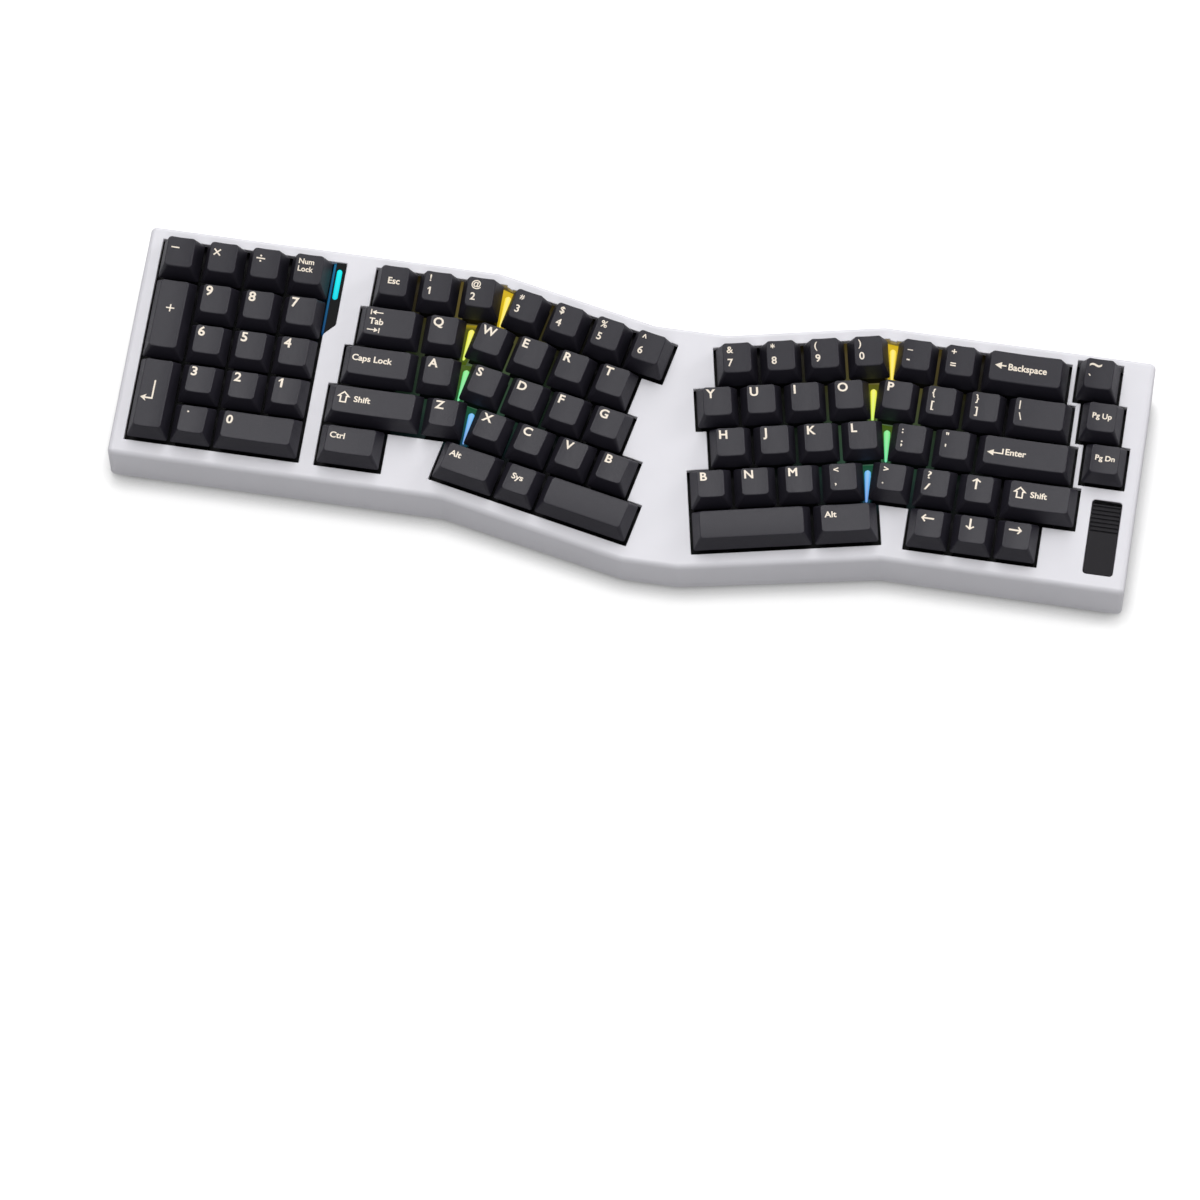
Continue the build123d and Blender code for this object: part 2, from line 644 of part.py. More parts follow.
def lens(gap, growth=0.0):
    """Return the pointed capsule that fills one gap, grown by an amount."""
    middle = between(gap[0], gap[1], 0.5)
    head, tail = between(middle, gap[2], HEAD_SHARE), between(middle, gap[2], TAIL_SHARE)
    length = math.dist(head, tail)
    ax, ay = (tail[0] - head[0]) / length, (tail[1] - head[1]) / length
    points = []
    for centre, radius, start, count in (
        (head, LENS_HEAD + growth, math.pi / 2, 4),
        (tail, LENS_TAIL + growth, -math.pi / 2, 2),
    ):
        for step in range(count + 1):
            angle = start + math.pi * step / count
            along, across = radius * math.cos(angle), radius * math.sin(angle)
            points.append((centre[0] + ax * along - ay * across, centre[1] + ay * along + ax * across))
    return points


with BuildPart() as wedge_frames:
    with BuildSketch(DECK.offset(PLATE_TOP)):
        for back, turned_back, tip in wedge_gaps():
            foot = between(between(back, turned_back, 0.5), tip, FRAME_SHARE)
            rim = [
                (back[0] - FRAME_OVERLAP, back[1] - 0.4),
                (turned_back[0] + FRAME_OVERLAP, turned_back[1] - 0.4),
                (foot[0] + FRAME_OVERLAP, foot[1]),
                (foot[0] - FRAME_OVERLAP, foot[1]),
            ]
            Polygon(*rim, align=None)
        for gap in wedge_gaps():
            Polygon(*lens(gap, 0.1), align=None, mode=Mode.SUBTRACT)
    extrude(amount=WEDGE_HEIGHT)
wedge_frames.part.label = "wedge_frames"

with BuildPart() as light_wedges:
    with BuildSketch(DECK.offset(PLATE_TOP)):
        for gap in wedge_gaps():
            Polygon(*lens(gap), align=None)
    extrude(amount=WEDGE_HEIGHT + 0.1)
light_wedges.part.label = "light_wedges"

# Switch plate, circuit board and what lies below them
def layer(height):
    """Return the outline of an inner layer, notched around the screw bosses."""
    with BuildSketch(DECK.offset(height)) as sketch:
        add(outline(Plane.XY, LAYER_INSET, rounded=False))
        with Locations([(x, y - 0.8) for x, y in FRONT_SCREWS]):
            Rectangle(2 * BOSS_RADIUS + 1.4, 2 * BOSS_RADIUS + 2.4, mode=Mode.SUBTRACT)
    return sketch.sketch


with BuildPart() as switch_plate:
    extrude(layer(PLATE_TOP), amount=-PLATE_THICKNESS)
switch_plate.part.label = "switch_plate"

with BuildPart() as circuit_board:
    extrude(layer(BOARD_TOP), amount=-BOARD_THICKNESS)
circuit_board.part.label = "circuit_board"

with BuildPart() as gasket_pads:
    with BuildSketch(DECK.offset(PLATE_TOP)):
        for x, y, length, width in GASKETS:
            with Locations((x, y)):
                Rectangle(length, width)
    extrude(amount=-DECK_THICKNESS - PLATE_TOP)
gasket_pads.part.label = "gasket_pads"

with BuildPart() as case_foam:
    with BuildSketch(PLAN.offset(REAR_FLOOR)):
        for start, end in FOAM_SPANS:
            with Locations(((start + end) / 2, -17.0)):
                Rectangle(end - start, 14.0)
    extrude(amount=FOAM_THICKNESS)
case_foam.part.label = "case_foam"

with BuildPart() as usb_board:
    with BuildSketch(PLAN.offset(SMALL_BOARD_Z)):
        with Locations((PORT_X, SMALL_BOARD_Y)):
            Rectangle(*SMALL_BOARD)
    extrude(amount=SMALL_BOARD_THICKNESS)
usb_board.part.label = "usb_board"

with BuildPart() as usb_c_socket:
    with BuildSketch(PORT_PLANE.offset(REAR_WALL_Y - SOCKET_SETBACK)):
        mouth = Rectangle(*SOCKET_SIZE)
        chamfer(mouth.vertices(), 0.9)
    extrude(amount=-SOCKET_LENGTH)
    with BuildSketch(PORT_PLANE.offset(REAR_WALL_Y - SOCKET_SETBACK)):
        Rectangle(SOCKET_SIZE[0] - 1.0, SOCKET_SIZE[1] - 1.0)
        Rectangle(6.6, 0.7, mode=Mode.SUBTRACT)
    extrude(amount=-SOCKET_LENGTH + 1.0, mode=Mode.SUBTRACT)
usb_c_socket.part.label = "usb_c_socket"

cable_front = SMALL_BOARD_Y - SMALL_BOARD[1] / 2 + 1.5
cable_top = DECK_ORIGIN_HEIGHT + cable_front * SIN + (BOARD_TOP - BOARD_THICKNESS) * COS - 0.5
cable_bottom = SMALL_BOARD_Z + SMALL_BOARD_THICKNESS
cable_plane = Plane(origin=(ORIGIN_X + PORT_X - 4, ORIGIN_Y, 0), x_dir=(0, 1, 0), z_dir=(1, 0, 0))
with BuildPart() as board_cable:
    with BuildSketch(cable_plane):
        with BuildLine():
            Polyline(
                (cable_front, cable_bottom),
                (cable_front, cable_bottom + 1.0),
                (cable_front - 1.5, cable_top - 1.5),
                (cable_front - 1.5, cable_top),
            )
        trace(line_width=0.4)
    extrude(amount=8)
board_cable.part.label = "board_cable"


def tapered_block(low, high, base, crown, shift=0.0):
    """Return a block with four flat leaning sides between two heights."""
    rise = high - low
    (base_x, base_y), (crown_x, crown_y) = base, crown
    sides = [
        ((base_x / 2, 0), (rise, 0, (base_x - crown_x) / 2)),
        ((-base_x / 2, 0), (-rise, 0, (base_x - crown_x) / 2)),
        ((0, base_y / 2), (0, rise, (base_y - crown_y) / 2 - shift)),
        ((0, -base_y / 2), (0, -rise, (base_y - crown_y) / 2 + shift)),
    ]
    with BuildPart() as block:
        with BuildSketch(Plane.XY.offset(low)):
            Rectangle(base_x, base_y)
        extrude(amount=rise)
        for (x, y), normal in sides:
            split(bisect_by=Plane(origin=(x, y, low), z_dir=normal), keep=Keep.BOTTOM)
    return block.part


# Switches
@cache
def housing():
    """Return one switch housing about its own centre, bored for the stem."""
    shell = tapered_block(PLATE_TOP, HOUSING_TOP, (HOUSING_FLANGE,) * 2, (HOUSING_CROWN,) * 2)
    with BuildPart() as body:
        add(shell)
        with BuildSketch(Plane.XY.offset(BORE_BOTTOM)):
            Rectangle(STEM[0] + 2 * BORE_GAP, STEM[1] + 2 * BORE_GAP)
        extrude(amount=HOUSING_TOP - BORE_BOTTOM, mode=Mode.SUBTRACT)
    return body.part


@cache
def stabiliser():
    """Return one stabiliser housing about its own centre."""
    with BuildPart() as body:
        with BuildSketch(Plane.XY.offset(PLATE_TOP)):
            Rectangle(*STABILISER_BODY)
        extrude(amount=STABILISER_TOP - PLATE_TOP)
        with BuildSketch(Plane.XY.offset(BORE_BOTTOM)):
            Rectangle(STABILISER_STEM[0] + 2 * BORE_GAP, STABILISER_STEM[1] + 2 * BORE_GAP)
        extrude(amount=STABILISER_TOP - BORE_BOTTOM, mode=Mode.SUBTRACT)
    return body.part


with BuildPart() as switch_housings:
    with Locations(key_spots(KEYS)):
        add(housing())
switch_housings.part.label = "switch_housings"

with BuildPart() as stabiliser_housings:
    with Locations(stabiliser_spots()):
        add(stabiliser())
stabiliser_housings.part.label = "stabiliser_housings"


# Keycaps with their stems
@cache
def keycap(width, height, cap):
    """Return one keycap about its own centre: hollow, dished and with its stem."""
    base_x, base_y = width * UNIT - CAP_GAP, height * UNIT - CAP_GAP
    top_height = SKIRT + cap.rise
    tilt = math.radians(cap.tilt)
    top = Plane(
        origin=(0, TOP_SET_BACK, top_height),
        x_dir=(1, 0, 0),
        z_dir=(0, math.sin(tilt), math.cos(tilt)),
    )
    drop = (base_y - TOP_SHORTENING) / 2 * abs(math.tan(tilt))
    ceiling = max(top_height - drop - DISH_DEPTH - CAP_ROOF, LOWEST_CEILING)
    share = (ceiling - SKIRT) / cap.rise
    outside = tapered_block(
        SKIRT,
        SKIRT + cap.rise * TOP_REACH,
        (base_x, base_y),
        (base_x - TOP_NARROWING * TOP_REACH, base_y - TOP_SHORTENING * TOP_REACH),
        TOP_SET_BACK * TOP_REACH,
    )
    inside = tapered_block(
        SKIRT,
        ceiling,
        (base_x - 2 * CAP_WALL, base_y - 2 * CAP_WALL),
        (
            base_x - 2 * CAP_WALL - TOP_NARROWING * share,
            base_y - 2 * CAP_WALL - TOP_SHORTENING * share,
        ),
        TOP_SET_BACK * share,
    )
    with BuildPart() as body:
        add(outside)
        split(bisect_by=top, keep=Keep.BOTTOM)
        if cap.convex:
            with BuildSketch(Plane.YZ.offset(-width * UNIT)):
                with Locations((TOP_SET_BACK, top_height + CROWN_RISE - CROWN_RADIUS)):
                    Circle(CROWN_RADIUS)
            extrude(amount=2 * width * UNIT, mode=Mode.INTERSECT)
        else:
            half = (base_x - TOP_NARROWING) / 2
            radius = (half**2 + DISH_DEPTH**2) / (2 * DISH_DEPTH)
            along = Plane(origin=top.origin, x_dir=(1, 0, 0), z_dir=-top.y_dir)
            with BuildSketch(along.offset(-base_y)):
                with Locations((0, radius - DISH_DEPTH)):
                    Circle(radius)
            extrude(amount=2 * base_y, mode=Mode.SUBTRACT)
        add(inside, mode=Mode.SUBTRACT)
        with BuildSketch(Plane.XY.offset(STEM_BOTTOM)):
            Rectangle(*STEM)
        extrude(amount=ceiling - STEM_BOTTOM)
        if max(width, height) >= 2.0:
            quarter = 90 if height > width else 0
            with BuildSketch(Plane.XY.offset(STEM_BOTTOM)):
                for side in (-STABILISER_SPREAD, STABILISER_SPREAD):
                    with Locations(Location((0, 0), quarter) * Location((side, 0))):
                        Rectangle(*STABILISER_STEM)
            extrude(amount=ceiling - STEM_BOTTOM)
    return body.part


for node in dict.fromkeys(key.node for key in KEYS):
    with BuildPart() as caps:
        for key in KEYS:
            if key.node == node:
                with Locations(key_spots([key])):
                    add(keycap(key.width, key.height, key.cap))
    caps.part.label = node
    export_step(caps.part, f"parts/{node}.step")

FIXED = [
    top_case_shell,
    bottom_case,
    base_plate,
    nameplate,
    rubber_feet,
    fin_insert,
    case_screws,
    side_insert,
    indicator_bezel,
    indicator_light_bar,
    wedge_frames,
    light_wedges,
    switch_plate,
    circuit_board,
    gasket_pads,
    case_foam,
    usb_board,
    usb_c_socket,
    board_cable,
    switch_housings,
    stabiliser_housings,
]
for piece in FIXED:
    export_step(piece.part, f"parts/{piece.part.label}.step")
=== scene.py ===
"""Looks of the ergonomic keyboard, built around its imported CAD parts.

Shapes are worked out in millimetres in deck coordinates: x to the right, y to the
rear and height along the deck's normal, from the rear left corner of the number
pad's first key cell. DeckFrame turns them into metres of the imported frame.
"""
import logging
import math
from collections.abc import Callable
from dataclasses import dataclass, field
from enum import Enum
from functools import cached_property
from typing import Protocol

import bmesh
import bpy
import numpy as np
from mathutils import Matrix, Vector


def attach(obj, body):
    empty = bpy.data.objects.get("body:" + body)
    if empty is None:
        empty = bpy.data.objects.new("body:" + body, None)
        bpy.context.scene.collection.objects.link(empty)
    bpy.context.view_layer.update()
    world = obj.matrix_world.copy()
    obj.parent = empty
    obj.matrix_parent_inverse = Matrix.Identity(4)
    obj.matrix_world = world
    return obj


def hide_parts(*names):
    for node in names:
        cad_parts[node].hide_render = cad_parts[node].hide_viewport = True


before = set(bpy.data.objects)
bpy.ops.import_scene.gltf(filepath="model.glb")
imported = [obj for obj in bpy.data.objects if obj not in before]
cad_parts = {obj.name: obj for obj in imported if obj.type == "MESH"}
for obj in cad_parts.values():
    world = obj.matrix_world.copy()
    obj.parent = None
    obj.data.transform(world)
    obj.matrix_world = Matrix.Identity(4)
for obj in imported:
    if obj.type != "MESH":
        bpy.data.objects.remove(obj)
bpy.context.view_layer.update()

MM = 0.001                  # metres
PITCH = 19.05               # mm from key to key
CASE_MIDDLE = 215.85        # deck x of the middle of the case
CASE = "case"               # the body that stays still
LOG = logging.getLogger("keyboard")

Array = np.ndarray
Socket = bpy.types.NodeSocket
Color = tuple[float, float, float, float]
Point = tuple[float, float, float]


# Finishes


def linear(hex_colour: str) -> Color:
    """Turn an sRGB hex colour into the linear colour that shaders take.

    Args:
        hex_colour: six hex digits after a '#'.

    Returns:
        Red, green, blue and an alpha of one.
    """
    parts = [int(hex_colour[i : i + 2], 16) / 255 for i in (1, 3, 5)]
    bent = [p / 12.92 if p <= 0.04045 else ((p + 0.055) / 1.055) ** 2.4 for p in parts]
    return (bent[0], bent[1], bent[2], 1.0)


def add_node(
    tree: bpy.types.NodeTree,
    kind: str,
    settings: dict[str, object] | None = None,
    *values: object,
    **inputs: object,
) -> bpy.types.Node:
    """Add a shader node with its settings, constants and links.

    Args:
        tree: the material's or world's node tree.
        kind: the node's type name after "ShaderNode".
        settings: attributes of the node, such as its blend mode.
        values: a constant or another node's output for each of the first inputs.
        inputs: the same by the input's name, with underscores for its spaces.

    Returns:
        The new node.
    """
    node = tree.nodes.new(f"ShaderNode{kind}")
    for name, value in (settings or {}).items():
        setattr(node, name, value)
    named = {name.replace("_", " "): value for name, value in inputs.items()}
    for place, value in (dict(enumerate(values)) | named).items():
        if isinstance(value, Socket):
            tree.links.new(value, node.inputs[place])
        else:
            node.inputs[place].default_value = value
    return node


def blank_material(name: str) -> bpy.types.Material:
    """Make a material whose node tree is empty.

    Args:
        name: the material's name.

    Returns:
        The new material.
    """
    material = bpy.data.materials.new(name)
    material.use_nodes = True
    material.node_tree.nodes.clear()
    return material


class Look(Protocol):
    """Anything that can give a piece its material."""

    def material(self) -> bpy.types.Material:
        """Return the material."""


@dataclass(frozen=True)
class Finish:
    """One surface finish: a base material, how rough it is and its fine grain."""

    name: str
    colour: str
    roughness: float
    metallic: float = 0.0
    ior: float = 1.5
    grain_mm: float = 0.3
    grain_depth: float = 0.1    # strength of the bump
    mottle_mm: float = 25.0
    mottle: float = 0.04        # share by which the patches are darker and lighter
    specular: float = 0.5
    spread: float = 0.05        # how far the roughness goes up and down

    def material(self) -> bpy.types.Material:
        """Return the finish's material, made at its first use."""
        return bpy.data.materials.get(self.name) or self.make()

    def make(self) -> bpy.types.Material:
        """Build the node tree over three noises.

        Patches of mottle_mm mix a darker and a lighter tint, patches of three grains
        vary the roughness, and a noise of grain_mm is raised as a bump.

        Returns:
            The new material.
        """
        material = blank_material(self.name)
        tree = material.node_tree
        place = add_node(tree, "TexCoord").outputs["Object"]
        coarse, fine = 3.0, 2.0
        sizes = ((self.mottle_mm, coarse), (3 * self.grain_mm, fine), (self.grain_mm, fine))
        patches, gloss, grain = (
            add_node(tree, "TexNoise", Vector=place, Scale=1 / (size * MM), Detail=detail)
            for size, detail in sizes
        )
        base = np.array(linear(self.colour)[:3])
        dark, light = base * (1 - self.mottle), np.minimum(base * (1 + self.mottle), 1.0)
        tint = add_node(
            tree,
            "Mix",
            {"data_type": "RGBA"},
            Factor=patches.outputs["Fac"],
            A=(*dark, 1.0),
            B=(*light, 1.0),
        )
        sheen = add_node(
            tree,
            "MapRange",
            Value=gloss.outputs["Fac"],
            To_Min=self.roughness - self.spread,
            To_Max=self.roughness + self.spread,
        )
        bump = add_node(
            tree,
            "Bump",
            Height=grain.outputs["Fac"],
            Strength=self.grain_depth,
            Distance=self.grain_mm * MM,
        )
        plastic = {} if self.metallic else {"IOR": self.ior, "Specular_IOR_Level": self.specular}
        shader = add_node(
            tree,
            "BsdfPrincipled",
            Base_Color=tint.outputs["Result"],
            Roughness=sheen.outputs["Result"],
            Metallic=self.metallic,
            Normal=bump.outputs["Normal"],
            **plastic,
        )
        add_node(tree, "OutputMaterial", Surface=shader.outputs[0])
        return material


# Aluminium with a sprayed, electro-deposited white coat: satin, almost without grain
WHITE_COAT = Finish("white_coated_aluminium", "#E4E3E9", 0.4, grain_mm=0.5, grain_depth=0.03)
# Moulded PBT: matt, with a spark-eroded grain (drawn at 0.35 mm, real about 0.1)
PBT = Finish(
    "moulded_pbt_charcoal", "#24222B", 0.46, ior=1.57, grain_mm=0.35, grain_depth=0.2, specular=0.3
)
# Dye carried into the PBT: flat cream, the same grain
PBT_CREAM = Finish("dyed_pbt_cream", "#F3E7D6", 0.55, ior=1.57, grain_mm=0.35, grain_depth=0.1)
# Bead-blasted and anodised aluminium: cool grey with a faint sparkle
SILVER = Finish(
    "blasted_anodised_aluminium", "#B9B6C4", 0.36, metallic=0.85, grain_mm=0.35, grain_depth=0.25
)
# Copper-coloured anodised aluminium, milled ribs with a bright satin face
COPPER = Finish(
    "anodised_copper_aluminium", "#F28B55", 0.3, metallic=0.9, grain_mm=0.4, grain_depth=0.1
)
# Moulded silicone rubber: black and dull
RUBBER = Finish("moulded_black_rubber", "#161618", 0.75, ior=1.45, grain_mm=0.4, grain_depth=0.3)
# Anodised black insert: dark with a soft sheen
BLACK_ANODISED = Finish(
    "anodised_black_aluminium", "#1A181D", 0.42, grain_depth=0.08, specular=0.15
)
# Black acrylic around the indicator: deep and smooth
BLACK_ACRYLIC = Finish(
    "cast_black_acrylic", "#060709", 0.2, ior=1.49, grain_mm=0.6, grain_depth=0.01, specular=0.06
)
# Moulded glass-filled nylon of the housings: black, between dull and satin
NYLON = Finish("moulded_black_nylon", "#101013", 0.5, ior=1.53, grain_mm=0.5, specular=0.2)
# Circuit board under solder lacquer: nearly black, with an even gloss
BOARD = Finish("lacquered_black_board", "#10151B", 0.35, ior=1.5, grain_mm=0.8, grain_depth=0.05)
# Open-cell foam (cells drawn at 0.8 mm): dead matt, pitted and patchy grey
FOAM = Finish("open_cell_grey_foam", "#55565A", 0.9, grain_mm=0.8, grain_depth=0.6, mottle=0.15)
# Steel with a zinc coat: bright, cool and a little blurred
STEEL = Finish("zinc_plated_steel", "#B4B6BA", 0.28, metallic=1.0, grain_mm=0.5, grain_depth=0.05)


# Frame and meshes


@dataclass(frozen=True)
class DeckFrame:
    """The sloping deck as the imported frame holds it."""

    origin: Point = (-CASE_MIDDLE, 56.7126, 33.27)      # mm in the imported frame
    slope: float = math.radians(6.0)

    def place(self, points: Array) -> Array:
        """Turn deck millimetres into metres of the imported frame.

        x stays, y and height turn about x by the slope, then the origin is added.

        Args:
            points: rows of x, y and height.

        Returns:
            Rows of x, y and z in metres.
        """
        x, y, height = np.asarray(points, float).T
        cosine, sine = math.cos(self.slope), math.sin(self.slope)
        turned = np.stack([x, y * cosine - height * sine, y * sine + height * cosine], 1)
        return (turned + self.origin) * MM

    def along(self, *places: float) -> list[float]:
        """Return the frame's y, in metres, of places on the deck given by deck y."""
        return self.place(np.array([[0, place, 0] for place in places]))[:, 1].tolist()

    def heights(self, points: Array) -> Array:
        """Return the height over the deck, in mm, of points given in metres."""
        normal = np.array([0.0, -math.sin(self.slope), math.cos(self.slope)])
        return (points / MM - self.origin) @ normal


DECK = DeckFrame()


@dataclass
class Surface:
    """Points with the quads and triangles between them."""

    points: Array
    quads: Array = field(default_factory=lambda: np.zeros((0, 4), int))
    triangles: Array = field(default_factory=lambda: np.zeros((0, 3), int))

    @staticmethod
    def join(pieces: list["Surface"]) -> "Surface":
        """Stack surfaces into one, each one's faces moved on by the points before it.

        Args:
            pieces: the surfaces to stack.

        Returns:
            One surface with all their faces.
        """
        starts = np.cumsum([0] + [len(piece.points) for piece in pieces])
        return Surface(
            np.vstack([piece.points for piece in pieces]),
            np.vstack([piece.quads + start for piece, start in zip(pieces, starts)]),
            np.vstack([piece.triangles + start for piece, start in zip(pieces, starts)]),
        )

    def moved(self, points: Array) -> "Surface":
        """Return the same faces over other points."""
        return Surface(points, self.quads, self.triangles)

    def mesh(self, name: str) -> bpy.types.Mesh:
        """Put the surface into a mesh.

        Args:
            name: the mesh's name.

        Returns:
            The mesh, in metres where the points are.
        """
        mesh = bpy.data.meshes.new(name)
        mesh.from_pydata(self.points.tolist(), [], self.quads.tolist() + self.triangles.tolist())
        mesh.update()
        return mesh


def add_piece(
    mesh: bpy.types.Mesh,
    look: Look,
    body: str,
    stands_for: tuple[str, ...] = (),
    smooth: bool = True,
) -> bpy.types.Object:
    """Link a finished mesh as a piece that rides on a body.

    Args:
        mesh: the mesh, in place.
        look: its finish or glow.
        body: the CAD body it moves with.
        stands_for: the CAD nodes it replaces.
        smooth: whether its shading is smooth, with normals weighted by area.

    Returns:
        The new object.
    """
    piece = bpy.data.objects.new(mesh.name, mesh)
    bpy.context.scene.collection.objects.link(piece)
    mesh.materials.clear()
    mesh.materials.append(look.material())
    if smooth:
        mesh.shade_smooth()
        weighted = piece.modifiers.new("even_shading", "WEIGHTED_NORMAL")
        weighted.keep_sharp = True
    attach(piece, body)
    if stands_for:
        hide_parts(*stands_for)
    return piece


def dress(node: str, look: Look) -> None:
    """Put a finish or a glow into the material slots of a CAD node that stays."""
    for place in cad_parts[node].material_slots:
        place.material = look.material()


def ring(half_x: Array, half_y: Array, radius: Array, steps: int, arc: int) -> Array:
    """Work out rounded rectangles, one for each entry of the sizes.

    On each side a point runs from the middle of one corner arc, along the straight
    edge, to the middle of the next arc: corner centre plus radius times the outward
    direction. The ring starts at the front left corner and runs counter-clockwise.

    Args:
        half_x: half the widths.
        half_y: half the depths.
        radius: the corner radii.
        steps: segments on each side.
        arc: how many of them lie on each half corner.

    Returns:
        Array of (sizes, 4 * steps, 4): x, y and the outward direction.
    """
    edge = steps - 2 * arc
    along = np.concatenate([np.full(arc, -1.0), np.linspace(-1, 1, edge + 1), np.ones(arc)])[:-1]
    lead, tail = np.linspace(-45, 0, arc + 1)[:-1], np.linspace(0, 45, arc + 1)[:-1]
    bend = np.radians(np.concatenate([lead, np.zeros(edge), tail]))
    facing = np.radians(np.arange(-90, 270, 90))[:, None]
    outward = np.stack([np.cos(facing + bend), np.sin(facing + bend)], -1).reshape(-1, 2)
    normal = np.stack([np.cos(facing), np.sin(facing)], -1)
    tangent = np.stack([-np.sin(facing), np.cos(facing)], -1)
    corner = (normal + tangent * along[None, :, None]).reshape(-1, 2)
    sizes = np.stack(np.broadcast_arrays(half_x, half_y), -1).reshape(-1, 1, 2)
    radius = np.broadcast_to(radius, sizes.shape[0]).reshape(-1, 1, 1)
    places = corner * (sizes - radius) + outward * radius
    return np.concatenate([places, np.broadcast_to(outward, places.shape)], -1)


def skin(rings: Array) -> Array:
    """Return the quads between closed rings of (levels, points), facing outwards.

    Args:
        rings: array of (levels, count, 3).

    Returns:
        Rows of four point numbers.
    """
    levels, count = rings.shape[:2]
    number = np.arange(levels * count).reshape(levels, count)
    beside = np.roll(number, -1, axis=1)
    faces = np.stack([number[:-1], beside[:-1], beside[1:], number[1:]], -1)
    return faces.reshape(-1, 4)


def patch(border: Array, first: int, start: int, steps: int) -> tuple[Array, Array]:
    """Fill a ring of four sides with a grid.

    Each inner point is the blend of the two points across from it in x, plus the blend
    of the two in y, minus the blend of the four corners (a Coons patch).

    Args:
        border: the ring's points, (4 * steps, 2), from its front left corner.
        first: number of the ring's first point in the surface.
        start: number that the first inner point gets.
        steps: segments on each side.

    Returns:
        The inner points, and quads that face up for a ring seen counter-clockwise.
    """
    order = np.arange(4 * steps)
    front, right = order[: steps + 1], order[steps : 2 * steps + 1]
    back, left = order[2 * steps : 3 * steps + 1][::-1], np.append(order[3 * steps :], 0)[::-1]
    u = np.linspace(0, 1, steps + 1)[:, None, None]
    v = np.linspace(0, 1, steps + 1)[None, :, None]
    across = (1 - v) * border[front][:, None] + v * border[back][:, None]
    along = (1 - u) * border[left][None] + u * border[right][None]
    near = (1 - u) * border[front[0]] + u * border[front[-1]]
    far = (1 - u) * border[back[0]] + u * border[back[-1]]
    grid = across + along - (1 - v) * near - v * far
    number = np.zeros((steps + 1, steps + 1), int)
    number[1:-1, 1:-1] = start + np.arange((steps - 1) ** 2).reshape(steps - 1, steps - 1)
    number[:, 0], number[-1, :] = first + front, first + right
    number[:, -1], number[0, :] = first + back, first + left
    quads = np.stack([number[:-1, :-1], number[1:, :-1], number[1:, 1:], number[:-1, 1:]], -1)
    return grid[1:-1, 1:-1].reshape(-1, 2), quads.reshape(-1, 4)


def close_rings(
    rings: Array, steps: int, top: Callable[[Array, Array], Array] | None = None
) -> Surface:
    """Close a stack of rings with a patch under the first and one over the last.

    Args:
        rings: array of (levels, 4 * steps, 3).
        steps: segments on each side.
        top: the upper patch's height at x and y, level with its ring if not given.

    Returns:
        One closed surface.
    """
    count = rings.shape[0] * rings.shape[1]
    under, lower = patch(rings[0, :, :2], 0, count, steps)
    over, upper = patch(rings[-1, :, :2], count - rings.shape[1], count + len(under), steps)
    floor = np.full(len(under), rings[0, 0, 2])
    height = top(over[:, 0], over[:, 1]) if top else np.full(len(over), rings[-1, 0, 2])
    points = [rings.reshape(-1, 3), np.column_stack([under, floor])]
    points.append(np.column_stack([over, height]))
    return Surface(np.vstack(points), np.vstack([skin(rings), lower[:, ::-1], upper]))


# Keys


@dataclass(frozen=True)
class RowShape:
    """What sets the caps of one sculpted row apart."""

    rise: float                 # mm from the skirt to the middle of the top
    tilt: float                 # degrees by which the top falls to the rear
    narrowing: float = 5.9      # mm that the top is narrower than the skirt
    crowned: bool = False       # bulged like a spacebar instead of dished


class Row(Enum):
    """The sculpted rows, the spacebars and the tall keys of the number pad."""

    DIGIT = RowShape(9.8, -4.2)
    UPPER = RowShape(7.45, 2.5)
    HOME = RowShape(6.55, 5.0)
    LOWER = RowShape(6.7, 11.5, 6.6)
    SPACE = RowShape(6.9, 8.0, 6.6, crowned=True)
    TALL = RowShape(7.0, 3.0)


